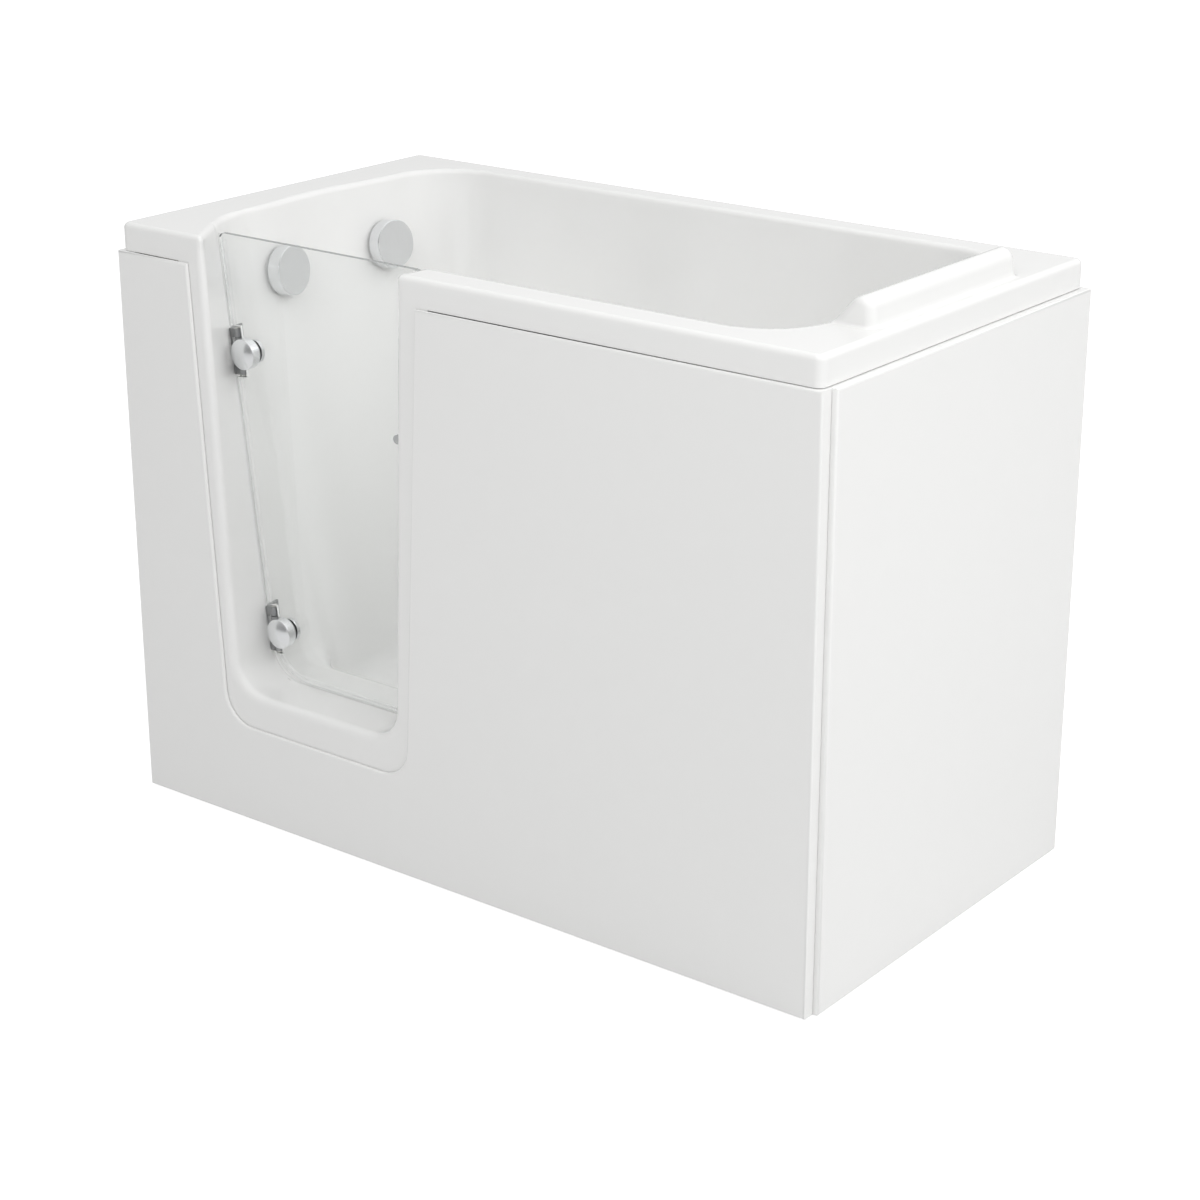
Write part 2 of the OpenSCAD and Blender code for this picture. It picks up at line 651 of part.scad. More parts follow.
end_panel_front = panel_fold + 0.5;
end_panel_face = bath_length + end_panel_proud;
module end_panel() color(acrylic) difference() {
    translate([end_panel_face - panel_fold, end_panel_front, panel_floor_gap])
        cube([panel_fold, bath_width - end_panel_front, panel_top - panel_floor_gap]);
    translate([end_panel_face - panel_fold - past, end_panel_front + panel_skin,
        panel_floor_gap + panel_skin])
        cube([panel_fold - panel_skin + past, bath_width - end_panel_front - 2 * panel_skin,
            panel_top - panel_floor_gap - 2 * panel_skin]);
}

// Clip: a channel between a panel's skin and the frame
clip_width = 24;
clip_height = 20;
clip_sheet = 2;
module clip(reach) {
    cube([clip_width, clip_sheet, clip_height]);
    cube([clip_width, reach, clip_sheet]);
    translate([0, reach - clip_sheet, 0]) cube([clip_width, clip_sheet, clip_height]);
}
clip_z = rail_bottom + 5;
front_clip_shares = [0.066, 0.314, 0.711, 0.893];
end_clip_shares = [0.2, 0.508, 0.8];
module panel_clips() color(steel) {
    for (x = front_clip_shares * bath_length)
        translate([x, panel_skin, clip_z]) clip(rail_front - panel_skin);
    for (y = end_clip_shares * bath_width)
        translate([end_panel_face - panel_skin, y, clip_z]) rotate([0, 0, 90])
            clip(end_panel_face - panel_skin - frame_right);
}

// ---- glass door -------------------------------------------------------------------------------
glass_top = rim_height - glass_top_gap;
// Outline of the door, grown from the glass's edge
function door_outline(grow, top) = u_outline(
    reveal_left(glass_middle) + glass_gap * sqrt(1 + end_draft * end_draft), end_draft,
    reveal_right(glass_middle) - glass_gap * sqrt(1 + pow(tan(latch_lean), 2)), tan(latch_lean),
    sill(glass_middle) + glass_gap, [glass_foot_radius, doorway_radius - glass_gap], grow, top);
function glass_outline() =
    let (raw = door_outline(0, glass_top), n = len(raw))
    concat(rounded_corner(raw[0], raw[n - 1], raw[1], 8, corner_steps),
        [for (i = [1:n - 2]) raw[i]],
        rounded_corner(raw[n - 1], raw[n - 2], raw[0], glass_top_radius, 2 * corner_steps));

pin_head = 2;
notch_depth = pin_offset + knuckle_diameter / 2 + 2;
notch_half_height = hinge_plate_height / 2 + pin_head + 1.5;
module hinge_notches(extra) for (height = hinge_heights) at_hinge(height)
    translate([-5, -glass_thickness, -notch_half_height - extra])
        cube([5 + notch_depth, 2 * glass_thickness, 2 * (notch_half_height + extra)]);
cap_x = pin_offset + cap_offset;
hinge_bolt_radius = 4;
glass_hole_radius = hinge_bolt_radius + 2;
bush_radius = 10;
module door_glass() color("lightcyan", 0.35) difference() {
    upright(glass_front, glass_thickness, glass_outline());
    hinge_notches(0);
    for (height = hinge_heights) at_hinge(height) translate([cap_x, glass_thickness, 0])
        rotate([90, 0, 0]) cylinder(r = glass_hole_radius, h = 2 * glass_thickness);
    translate([latch_x, glass_front - past, latch_height]) rotate([-90, 0, 0])
        cylinder(r = bush_radius + running_gap, h = glass_thickness + 2 * past);
}

seal_reach = glass_gap - seal_gap;
module door_seal() color(rubber) difference() {
    upright(glass_front - seal_lip, glass_thickness + 2 * seal_lip,
        door_outline(seal_reach, glass_top - 10));
    upright(glass_front - glass_thickness, 3 * glass_thickness,
        door_outline(-seal_cover, glass_top + past));
    upright(glass_front, glass_thickness, door_outline(0, glass_top + past));
    hinge_notches(1);
    translate([latch_x, glass_front - glass_thickness, glass_top - glass_top_radius - 5])
        cube([doorway_right - doorway_left, 3 * glass_thickness, glass_top_radius + 5 + past]);
}

// ---- hinges -----------------------------------------------------------------------------------
knuckle_radius = knuckle_diameter / 2;
pin_radius = pin_diameter / 2;
arm_gap = 0.5;
module hinge_plate(height) color(chrome) at_hinge(height) difference() {
    knuckle = hinge_plate_height / 2 - hinge_arm_height / 2 - arm_gap;
    union() {
        rotate([0, 0, reveal_turn]) translate([0, -knuckle_radius / 2, -hinge_plate_height / 2])
            cube([hinge_plate_thickness, hinge_plate_width, hinge_plate_height]);
        for (z = [-hinge_plate_height / 2, hinge_plate_height / 2 - knuckle]) translate([0, 0, z]) {
            translate([pin_offset, 0, 0]) cylinder(r = knuckle_radius, h = knuckle);
            translate([2, -knuckle_radius + 2, 0]) cube([pin_offset - 2, knuckle_diameter - 4, knuckle]);
        }
    }
    translate([pin_offset, 0, -hinge_plate_height])
        cylinder(r = pin_radius + running_gap, h = 2 * hinge_plate_height);
    rotate([0, 0, reveal_turn]) for (side = [-1, 1])
        translate([-past, hinge_screw_place, side * hinge_screw_spacing / 2]) rotate([0, 90, 0])
            cylinder(r = 2.6, h = hinge_plate_thickness + 2 * past);
}
module upper_hinge_plate() hinge_plate(upper_hinge_height);
module lower_hinge_plate() hinge_plate(lower_hinge_height);

module hinge_pins() color(chrome) for (height = hinge_heights) at_hinge(height)
    translate([pin_offset, 0, -hinge_plate_height / 2 - pin_head]) {
        cylinder(r = pin_radius, h = hinge_plate_height + pin_head + 1);
        cylinder(r = knuckle_radius - 0.5, h = pin_head);
    }

module hinge_plate_screws() color(steel) at_hinge_screws() {
    translate([0, 0, hinge_plate_thickness]) cylinder(r1 = 5, r2 = 4, h = 2);
    translate([0, 0, -shell_wall - 3]) cylinder(r = 2.5, h = shell_wall + 4 + hinge_plate_thickness);
}

gasket = 1;
arm_sheet = 3;
arm_front = -glass_thickness / 2 - gasket - arm_sheet;
module hinge_arm(height) color(chrome) at_hinge(height) difference() {
    union() {
        translate([pin_offset, 0, -hinge_arm_height / 2])
            cylinder(r = knuckle_radius, h = hinge_arm_height);
        translate([pin_offset, arm_front, -hinge_arm_height / 2])
            cube([cap_offset, arm_sheet, hinge_arm_height]);
        translate([pin_offset - 2, arm_front, -hinge_arm_height / 2])
            cube([6, -arm_front, hinge_arm_height]);
        translate([cap_x, arm_front + arm_sheet, 0]) rotate([90, 0, 0])
            cylinder(r = hinge_arm_height / 2, h = arm_sheet);
    }
    translate([pin_offset, 0, -hinge_plate_height])
        cylinder(r = pin_radius + running_gap, h = 2 * hinge_plate_height);
    translate([cap_x, 0, 0]) rotate([90, 0, 0])
        cylinder(r = hinge_bolt_radius + running_gap, h = 3 * glass_thickness);
}
module upper_hinge_arm() hinge_arm(upper_hinge_height);
module lower_hinge_arm() hinge_arm(lower_hinge_height);

cap_side = 13;
cap_dome = 7;
cap_curve_radius = (cap_diameter * cap_diameter / 4 + cap_dome * cap_dome) / (2 * cap_dome);
cap_curve_angle = asin(cap_diameter / 2 / cap_curve_radius);
// Half section of the cap: its side, its dome and the blind bore for the bolt
cap_section = concat(
    [[0, cap_side - 3], [hinge_bolt_radius + running_gap, cap_side - 3],
        [hinge_bolt_radius + running_gap, 0], [cap_diameter / 2, 0]],
    [for (i = [0:2 * corner_steps]) let (a = cap_curve_angle * (1 - i / (2 * corner_steps)))
        [cap_curve_radius * sin(a), cap_side + cap_dome - cap_curve_radius * (1 - cos(a))]]);
module hinge_cap(height) color(chrome) at_hinge(height) translate([cap_x, arm_front, 0])
    rotate([90, 0, 0]) rotate_extrude() polygon(cap_section);
module upper_hinge_cap() hinge_cap(upper_hinge_height);
module lower_hinge_cap() hinge_cap(lower_hinge_height);

clamp_thickness = 6;
clamp_back = glass_thickness / 2 + gasket;
module hinge_clamps() color(chrome) for (height = hinge_heights) at_hinge(height)
    translate([cap_x, clamp_back + clamp_thickness, 0]) rotate([90, 0, 0]) difference() {
        cylinder(r = hinge_arm_height / 2 - 3, h = clamp_thickness);
        translate([0, 0, -past])
            cylinder(r = hinge_bolt_radius + running_gap, h = clamp_thickness + 2 * past);
    }
module hinge_gaskets() color(rubber)
    for (height = hinge_heights, y = [-glass_thickness / 2, clamp_back])
    at_hinge(height) translate([cap_x, y, 0]) rotate([90, 0, 0]) difference() {
        cylinder(r = hinge_arm_height / 2 - 5, h = gasket);
        translate([0, 0, -past]) cylinder(r = hinge_bolt_radius + 0.2, h = gasket + 2 * past);
    }
bolt_head = 3;
bolt_head_radius = 7;
// The bolt's shank reaches into the cap's blind bore
bolt_back = clamp_back + clamp_thickness + bolt_head;
bolt_length = bolt_back - arm_front + cap_side - 5;
module hinge_bolts() color(steel) for (height = hinge_heights) at_hinge(height)
    translate([cap_x, bolt_back, 0]) rotate([90, 0, 0]) {
        cylinder(r = bolt_head_radius, h = bolt_head);
        cylinder(r = hinge_bolt_radius, h = bolt_length);
    }

// ---- latch ------------------------------------------------------------------------------------
bush_flange = 2;
// Latch: origin on the spindle's axis at a distance from the front, Z towards the well
module at_latch(from_front) translate([latch_x, from_front, latch_height]) rotate([-90, 0, 0]) children();
module latch_bush() color(plastic) at_latch(0) difference() {
    union() {
        translate([0, 0, glass_front - bush_flange]) cylinder(r = bush_radius + 5, h = bush_flange);
        translate([0, 0, glass_front - past]) cylinder(r = bush_radius, h = glass_thickness + past);
        translate([0, 0, glass_front + glass_thickness]) cylinder(r = bush_radius + 4, h = bush_flange);
    }
    translate([0, 0, glass_front - 10]) cylinder(r = spindle_radius + running_gap, h = 30);
}
spindle_front = glass_front - bush_flange - 3.5;
handle_front = cam_front + cam_thickness + 0.3;
handle_thickness = 10;
module latch_spindle() color(chrome) at_latch(spindle_front) {
    cylinder(r = spindle_radius + 5, h = 3);
    cylinder(r = spindle_radius, h = handle_front + handle_thickness - 2 - spindle_front);
}
module latch_cam() color(steel) at_latch(cam_front) difference() {
    union() {
        cylinder(r = spindle_radius + 4, h = cam_thickness);
        translate([-cam_half_width, 0, 0])
            cube([2 * cam_half_width, cam_reach - cam_half_width, cam_thickness]);
        translate([0, cam_reach - cam_half_width, 0]) cylinder(r = cam_half_width, h = cam_thickness);
    }
    translate([0, 0, -past]) cylinder(r = spindle_radius + running_gap, h = cam_thickness + 2 * past);
}
handle_half_height = 6.5;
module latch_handle() color(plastic) at_latch(handle_front)
    difference() {
        union() {
            cylinder(r = spindle_radius + 6, h = handle_thickness);
            translate([-latch_handle_length + handle_half_height, -handle_half_height, 0])
                cube([latch_handle_length - handle_half_height, 2 * handle_half_height, handle_thickness]);
            translate([-latch_handle_length + handle_half_height, 0, 0])
                cylinder(r = handle_half_height, h = handle_thickness);
        }
        translate([0, 0, -past]) cylinder(r = spindle_radius + running_gap, h = handle_thickness - 2 + past);
    }
module latch_keep() color(chrome) difference() {
    keep_block(keep_wall, keep_face - 4, keep_face + keep_depth);
    keep_block(0, keep_face - keep_lead, keep_face + keep_depth - keep_wall);
    // Its face follows the reveal
    loft([for (y = [glass_front, keep_middle + keep_width])
        [for (p = doorway_outline(y, 0, rim_height - deck_edge_radius)) [p.x, y, p[1]]]]);
}

// ---- overflows --------------------------------------------------------------------------------
bush_outer = 9;
// Thickness of the webs that carry a bush in a pipe
web = 3;
module overflow_collars() color(chrome) for (place = dial_places) at_overflow(place) difference() {
    union() {
        difference() {
            union() {
                translate([0, 0, overflow_seat]) cylinder(r = overflow_collar_radius, h = 5);
                translate([0, 0, overflow_pad_depth - 7])
                    cylinder(r = overflow_tail_radius, h = overflow_seat - overflow_pad_depth + 8);
            }
            translate([0, 0, overflow_pad_depth - 10]) cylinder(r = overflow_tail_radius - 3, h = 40);
        }
        translate([0, 0, overflow_seat - 6]) cylinder(r = bush_outer, h = 11);
        for (turn = [0, 60, 120]) rotate([0, 0, turn])
            translate([-overflow_tail_radius + 1, -web / 2, overflow_seat - 6])
                cube([2 * overflow_tail_radius - 2, web, 8]);
    }
    translate([0, 0, overflow_pad_depth - 20]) cylinder(r = spindle_radius + running_gap, h = 60);
}
module overflow_gaskets() color(rubber) for (place = dial_places) at_overflow(place)
    translate([0, 0, overflow_pad_depth - gasket_thickness]) difference() {
        cylinder(r = overflow_pad_radius - 2, h = gasket_thickness);
        translate([0, 0, -past])
            cylinder(r = overflow_tail_radius + free_gap, h = gasket_thickness + 2 * past);
    }
overflow_cup_radius = 26;
overflow_cup_depth = 28;
overflow_cup_top = overflow_pad_depth - gasket_thickness;
pipe_radius = overflow_pipe_diameter / 2;
overflow_pipe_lean_x = 26;
function overflow_pipe_x(place) = end_wall(place, dial_height) - overflow_pipe_lean_x;
socket_drop = overflow_cup_radius + 16;
cable_radius = 2.5;
cable_offset = pipe_radius + cable_radius + 4;
// The front cable runs on the front side of its pipe and the back cable on the back side
function cable_side(dial) = (dial == front_dial_y ? -1 : 1) * cable_offset;
gland_z = dial_height - overflow_cup_radius - 6;
gland_depth = 8;
module overflow_bodies() color(plastic) for (place = dial_places) difference() {
    union() {
        at_overflow(place) translate([0, 0, overflow_cup_top - overflow_cup_depth]) {
            cylinder(r = overflow_cup_radius, h = overflow_cup_depth);
            translate([0, 0, overflow_cup_depth - 4]) cylinder(r = overflow_pad_radius - 1, h = 4);
        }
        translate([overflow_pipe_x(place), place, dial_height - socket_drop])
            cylinder(r = pipe_radius + 3, h = socket_drop - 8);
        translate([overflow_pipe_x(place), place + cable_side(place), gland_z])
            cylinder(r = cable_radius + 2, h = dial_height - 14 - gland_z);
    }
    at_overflow(place) {
        translate([0, 0, overflow_cup_top - overflow_cup_depth + 3])
            cylinder(r = overflow_cup_radius - 3, h = overflow_cup_depth - 3 - 8);
        translate([0, 0, overflow_cup_top - 10]) cylinder(r = overflow_tail_radius + running_gap, h = 20);
    }
    translate([overflow_pipe_x(place), place, dial_height - socket_drop - past])
        cylinder(r = pipe_radius + running_gap, h = 16 + past);
    translate([overflow_pipe_x(place), place, dial_height - socket_drop])
        cylinder(r = pipe_radius - 2, h = socket_drop - 12);
    translate([overflow_pipe_x(place), place + cable_side(place), gland_z - past])
        cylinder(r = cable_radius + running_gap, h = gland_depth + past);
}

// Solid round bar through a list of points, with a ball at each bend
module run_solid(points, r, ball) {
    for (i = [0:len(points) - 2]) {
        leg = points[i + 1] - points[i];
        translate(points[i]) rotate([0, acos(leg.z / norm(leg)), atan2(leg.y, leg.x)])
            cylinder(r = r, h = norm(leg));
    }
    if (len(points) > 2) for (i = [1:len(points) - 2]) translate(points[i]) sphere(r = ball);
}
elbow_swell = 3;
module pipe(points, r, wall) difference() {
    run_solid(points, r, r + elbow_swell);
    run_solid([for (i = [0:len(points) - 1])
        i == 0 ? points[0] - unit(points[1] - points[0])
        : i == len(points) - 1 ? points[i] + unit(points[i] - points[i - 1]) : points[i]],
        r - wall, r - wall + 1);
}

waste_body_radius = 29;
waste_body_bottom = 14;
inlet_z = rail_bottom + 12;
waste_socket = 15;
function waste_point(place, z) = [waste_place, place, z];
function overflow_foot(place) = [overflow_pipe_x(place), place, inlet_z];
// Direction from an overflow's foot to its waste
function inlet_way(dial, waste) = unit(waste_point(waste, inlet_z) - overflow_foot(dial));
module overflow_pipe(dial, waste) color(plastic) pipe([
    [overflow_pipe_x(dial), dial, dial_height - socket_drop + 15], overflow_foot(dial),
    waste_point(waste, inlet_z) - (waste_body_radius + 2) * inlet_way(dial, waste)], pipe_radius, 2);
module front_overflow_pipe() overflow_pipe(front_dial_y, front_waste_y);
module back_overflow_pipe() overflow_pipe(back_dial_y, back_dial_y);

// Direction from a cable's foot to its waste, level and towards the waste's middle
cable_z = inlet_z - cable_offset;
function cable_foot(dial) = [overflow_pipe_x(dial), dial + cable_side(dial), cable_z];
function cable_way(dial, waste) = unit(waste_point(waste, cable_z) - cable_foot(dial));
module cable(dial, waste) {
    foot = cable_foot(dial);
    run_solid([[foot.x, foot.y, gland_z + gland_depth - 1], foot,
        waste_point(waste, cable_z) - (waste_body_radius + 1) * cable_way(dial, waste)],
        cable_radius, cable_radius + 1);
}
module control_cables() color("black") {
    cable(front_dial_y, front_waste_y);
    cable(back_dial_y, back_dial_y);
}

dial_gap = 5;
module overflow_dial(place) color(chrome) at_overflow(place) {
    difference() {
        translate([0, 0, dial_gap]) cylinder(d = dial_diameter, h = dial_thickness);
        translate([0, 0, dial_gap - past]) cylinder(d = dial_diameter - 8, h = 6 + past);
    }
    translate([0, 0, overflow_seat - 9]) cylinder(r = spindle_radius, h = dial_gap - overflow_seat + 20);
    translate([0, 0, overflow_seat + 5.5]) cylinder(r = bush_outer, h = dial_gap + 6 - overflow_seat - 5);
}
module front_overflow_dial() overflow_dial(front_dial_y);
module back_overflow_dial() overflow_dial(back_dial_y);

// ---- wastes -----------------------------------------------------------------------------------
waste_lip = 3;
stem_radius = 4;
seal_thickness = 1.5;
body_top = floor_underside - seal_thickness;
module at_wastes() for (place = waste_places) translate([waste_place, place, 0]) children();
waste_tail_length = 20;
waste_tail_wall = 2.5;
waste_bush_bottom = footwell_floor - 18;
waste_bush_height = 12;
module waste_flanges() color(chrome) at_wastes() difference() {
    union() {
        difference() {
            union() {
                translate([0, 0, footwell_floor]) cylinder(d = waste_flange_diameter, h = waste_lip);
                translate([0, 0, footwell_floor - waste_tail_length])
                    cylinder(r = waste_tail_radius, h = waste_tail_length + waste_lip / 2);
            }
            translate([0, 0, footwell_floor - waste_tail_length - past])
                cylinder(r = waste_tail_radius - waste_tail_wall,
                    h = waste_tail_length + waste_lip + 2 * past);
        }
        translate([0, 0, waste_bush_bottom]) cylinder(r = stem_radius + 3, h = waste_bush_height);
        for (turn = [0, 90]) rotate([0, 0, turn])
            translate([-waste_tail_radius + 1, -web / 2, waste_bush_bottom])
                cube([2 * waste_tail_radius - 2, web, waste_bush_height / 2]);
    }
    translate([0, 0, waste_bush_bottom - past])
        cylinder(r = stem_radius + running_gap, h = waste_bush_height + 2 * past);
}
module waste_seals() color(rubber) at_wastes() translate([0, 0, body_top]) difference() {
    cylinder(r = waste_body_radius, h = seal_thickness);
    translate([0, 0, -past]) cylinder(r = waste_tail_radius + free_gap, h = seal_thickness + 2 * past);
}
collect_z = waste_body_bottom + 24;
collect_radius = waste_pipe_diameter / 2;
collect_x = waste_place + waste_body_radius + 36;
module waste_body(dial, place) color(plastic) difference() {
    way = inlet_way(dial, place);
    union() {
        translate([waste_place, place, waste_body_bottom])
            cylinder(r = waste_body_radius, h = body_top - waste_body_bottom);
        run_solid([waste_point(place, inlet_z),
            waste_point(place, inlet_z) - (waste_body_radius + waste_socket) * way], pipe_radius + 2.5, 0);
        run_solid([waste_point(place, cable_z),
            waste_point(place, cable_z) - (waste_body_radius + gland_depth) * cable_way(dial, place)],
            cable_radius + 2, 0);
        translate([waste_place, place, collect_z]) rotate([0, 90, 0])
            cylinder(r = collect_radius + 3, h = waste_body_radius + waste_socket);
    }
    translate([waste_place, place, waste_body_bottom + 3]) cylinder(r = waste_body_radius - 3,
        h = footwell_floor - waste_tail_length - waste_body_bottom - 5);
    translate([waste_place, place, waste_body_bottom + 6])
        cylinder(r = waste_tail_radius + running_gap, h = body_top - waste_body_bottom);
    translate([waste_place, place, collect_z]) rotate([0, 90, 0])
        cylinder(r = collect_radius + running_gap, h = waste_body_radius + waste_socket + past);
    run_solid([waste_point(place, inlet_z),
        waste_point(place, inlet_z) - (waste_body_radius + waste_socket + past) * way],
        pipe_radius + running_gap, 0);
    cable_in = cable_way(dial, place);
    run_solid([waste_point(place, cable_z) - (waste_body_radius - 1) * cable_in,
        waste_point(place, cable_z) - 200 * cable_in], cable_radius + running_gap, 0);
}
module front_waste_body() waste_body(front_dial_y, front_waste_y);
module back_waste_body() waste_body(back_dial_y, back_dial_y);

trap_radius = 42;
trap_y = rail_back - trap_radius - 21;
trap_bottom = 6;
trap_top = rail_bottom + 12;
trap_socket = 12;
pipe_wall = 2.5;
// The collecting pipe starts a little in front of the front waste and ends in the trap
collect_start = front_waste_y - collect_radius - 6;
module collecting_tube(r, extra) {
    closed = collect_radius - r;
    translate([collect_x, collect_start + closed, collect_z]) rotate([-90, 0, 0])
        cylinder(r = r, h = trap_y - trap_radius + 2 + extra - collect_start - closed);
    for (place = waste_places) translate([waste_place + waste_body_radius + 1 - extra, place, collect_z])
        rotate([0, 90, 0]) cylinder(r = r, h = collect_x - waste_place - waste_body_radius - 1 + extra);
}
module collecting_pipe() color(plastic) difference() {
    collecting_tube(collect_radius, 0);
    collecting_tube(collect_radius - pipe_wall, past);
}
module trap() color(plastic) difference() {
    union() {
        difference() {
            union() {
                translate([collect_x, trap_y, trap_bottom])
                    cylinder(r = trap_radius, h = trap_top - 5 - trap_bottom);
                translate([collect_x, trap_y - trap_radius - trap_socket, collect_z])
                    rotate([-90, 0, 0])
                        cylinder(r = collect_radius + 3, h = 2 * (trap_radius + trap_socket));
            }
            translate([collect_x, trap_y, trap_bottom + 3])
                cylinder(r = trap_radius - 3, h = trap_top - trap_bottom);
        }
        translate([collect_x - trap_radius + 1, trap_y - web / 2, trap_bottom + 10])
            cube([2 * trap_radius - 2, web, trap_top - 8 - trap_bottom - 10]);
    }
    for (y = [trap_y - trap_radius - trap_socket - past, trap_y + trap_radius - 2])
        translate([collect_x, y, collect_z]) rotate([-90, 0, 0])
            cylinder(r = collect_radius + running_gap, h = trap_socket + 2 + past);
}
module trap_cap() color(plastic) translate([collect_x, trap_y, 0]) {
    translate([0, 0, trap_top - 5]) cylinder(r = trap_radius, h = 4);
    translate([0, 0, trap_top - 7.5]) cylinder(r = trap_radius - 3.1, h = 3);
}
// The outlet's tail is in the trap and its wider spigot starts clear of the trap's socket
outlet_start = trap_y + trap_radius - 1;
spigot_start = trap_y + trap_radius + trap_socket + 1;
outlet_end = bath_width - 2;
module outlet_pipe() color(plastic) translate([collect_x, 0, collect_z])
    rotate([-90, 0, 0]) difference() {
        union() {
            translate([0, 0, outlet_start])
                cylinder(r = collect_radius, h = spigot_start - outlet_start + past);
            translate([0, 0, spigot_start]) cylinder(d = outlet_diameter, h = outlet_end - spigot_start);
        }
        translate([0, 0, outlet_start - past])
            cylinder(r = collect_radius - pipe_wall, h = outlet_end - outlet_start + 2 * past);
    }

plug_radius = 26;
plug_gap = 0.3;
plug_height = 6;
stem_length = 26;
module waste_plug(place) color(chrome)
    translate([waste_place, place, footwell_floor + waste_lip + plug_gap]) {
        difference() {
            cylinder(r = plug_radius, h = plug_height);
            translate([0, 0, -past]) cylinder(r = plug_radius - 6, h = plug_height / 2 + past);
        }
        translate([0, 0, -plug_lift - stem_length])
            cylinder(r = stem_radius, h = plug_lift + stem_length + plug_height - 1);
    }
module front_waste_plug() waste_plug(front_waste_y);
module back_waste_plug() waste_plug(back_dial_y);

// Moves the bath to the part's origin
module placed() translate([-(bath_length + end_panel_proud) / 2, -bath_width / 2, 0]) children();

placed() tub_shell();
placed() base_board();
placed() seat_board();
placed() front_rail();
placed() back_rail();
placed() left_cross_member();
placed() middle_cross_member();
placed() right_cross_member();
placed() corner_posts();
placed() seat_posts();
placed() front_rim_battens();
placed() back_rim_batten();
placed() side_rim_battens();
placed() frame_bolts();
placed() foot_weld_nuts();
placed() foot_locknuts();
placed() front_panel();
placed() end_panel();
placed() panel_clips();
placed() upper_hinge_plate();
placed() lower_hinge_plate();
placed() hinge_pins();
placed() hinge_plate_screws();
placed() latch_keep();
placed() overflow_collars();
placed() overflow_gaskets();
placed() overflow_bodies();
placed() front_overflow_pipe();
placed() back_overflow_pipe();
placed() control_cables();
placed() waste_flanges();
placed() waste_seals();
placed() front_waste_body();
placed() back_waste_body();
placed() collecting_pipe();
placed() trap();
placed() trap_cap();
placed() outlet_pipe();
placed() door_glass();
placed() door_seal();
placed() upper_hinge_arm();
placed() lower_hinge_arm();
placed() upper_hinge_cap();
placed() lower_hinge_cap();
placed() hinge_clamps();
placed() hinge_gaskets();
placed() hinge_bolts();
placed() latch_bush();
placed() latch_spindle();
placed() latch_cam();
placed() latch_handle();
placed() front_overflow_dial();
placed() back_overflow_dial();
placed() front_waste_plug();
placed() back_waste_plug();
placed() front_left_foot();
placed() back_left_foot();
placed() front_right_foot();
placed() back_right_foot();
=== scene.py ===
"""Looks of a compact walk-in bath with a glass door: gloss white moulding and panels, clear glass,
chrome fittings, and the steel, timber and pipes under them, on a plain pale floor."""

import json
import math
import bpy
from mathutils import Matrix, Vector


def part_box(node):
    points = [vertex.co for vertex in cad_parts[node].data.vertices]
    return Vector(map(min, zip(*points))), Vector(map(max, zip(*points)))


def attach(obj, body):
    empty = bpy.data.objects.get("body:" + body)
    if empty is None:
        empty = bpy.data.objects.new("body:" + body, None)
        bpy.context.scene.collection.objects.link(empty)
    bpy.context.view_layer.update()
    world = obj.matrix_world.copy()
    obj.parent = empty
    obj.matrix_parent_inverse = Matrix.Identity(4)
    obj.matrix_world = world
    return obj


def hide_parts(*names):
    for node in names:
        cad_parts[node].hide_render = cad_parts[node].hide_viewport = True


bl_info = {
    "name": "Walk-in bath",
    "version": (1, 0, 0),
    "blender": (4, 5, 0),
    "location": "View3D > Sidebar > Bath",
    "description": "Builds the finished surfaces of a walk-in bath round its packed frame",
    "category": "Object",
}

import bmesh
import bpy
import numpy as np
from mathutils import Vector

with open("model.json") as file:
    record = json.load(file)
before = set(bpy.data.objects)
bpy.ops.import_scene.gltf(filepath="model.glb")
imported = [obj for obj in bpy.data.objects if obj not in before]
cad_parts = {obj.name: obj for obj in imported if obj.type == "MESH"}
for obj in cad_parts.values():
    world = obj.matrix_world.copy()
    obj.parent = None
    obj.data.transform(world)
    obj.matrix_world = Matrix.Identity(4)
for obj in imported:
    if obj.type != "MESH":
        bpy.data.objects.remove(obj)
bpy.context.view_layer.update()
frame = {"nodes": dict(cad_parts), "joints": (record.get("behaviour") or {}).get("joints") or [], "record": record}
NODES = frame["nodes"]
JOINTS = {joint["name"]: joint for joint in frame["joints"]}
SLOTS = {s["slot"]: s for s in frame["record"]["materials"]}

# The moulding is worked out in millimetres from the left end of the front panel's face
CORNER = np.array([0.60935, 0.325, 0.0])


def to_metres(points):
    """Millimetres from the panel's corner to metres in the bath's own frame."""
    return points / 1000.0 - CORNER


# ---- sizes and colours ----------------------------------------------------------------------


class BathSizes(bpy.types.PropertyGroup):
    """Sizes of the surfaces, in metres."""

    wall: bpy.props.FloatProperty(
        name="Moulding", description="Thickness of the moulding",
        default=0.006, unit="LENGTH")
    panel_edge: bpy.props.FloatProperty(
        name="Panel edge", description="Radius of the panels' outer edges",
        default=0.0038, unit="LENGTH")
    glass_edge: bpy.props.FloatProperty(
        name="Glass edge", description="Ground chamfer on the edges of the glass",
        default=0.0009, unit="LENGTH")
    chrome_edge: bpy.props.FloatProperty(
        name="Fitting edge", description="Radius on the edges of the cast fittings",
        default=0.0009, unit="LENGTH")
    mesh_step: bpy.props.FloatProperty(
        name="Mesh step", description="Widest step of the moulding's mesh",
        default=0.0105, unit="LENGTH")


def colour_property(slot, name):
    return bpy.props.FloatVectorProperty(
        name=name, description=f"Colour of the {name.lower()}", subtype="COLOR", size=3,
        min=0, max=1, default=SLOTS[slot]["base_color"][:3])


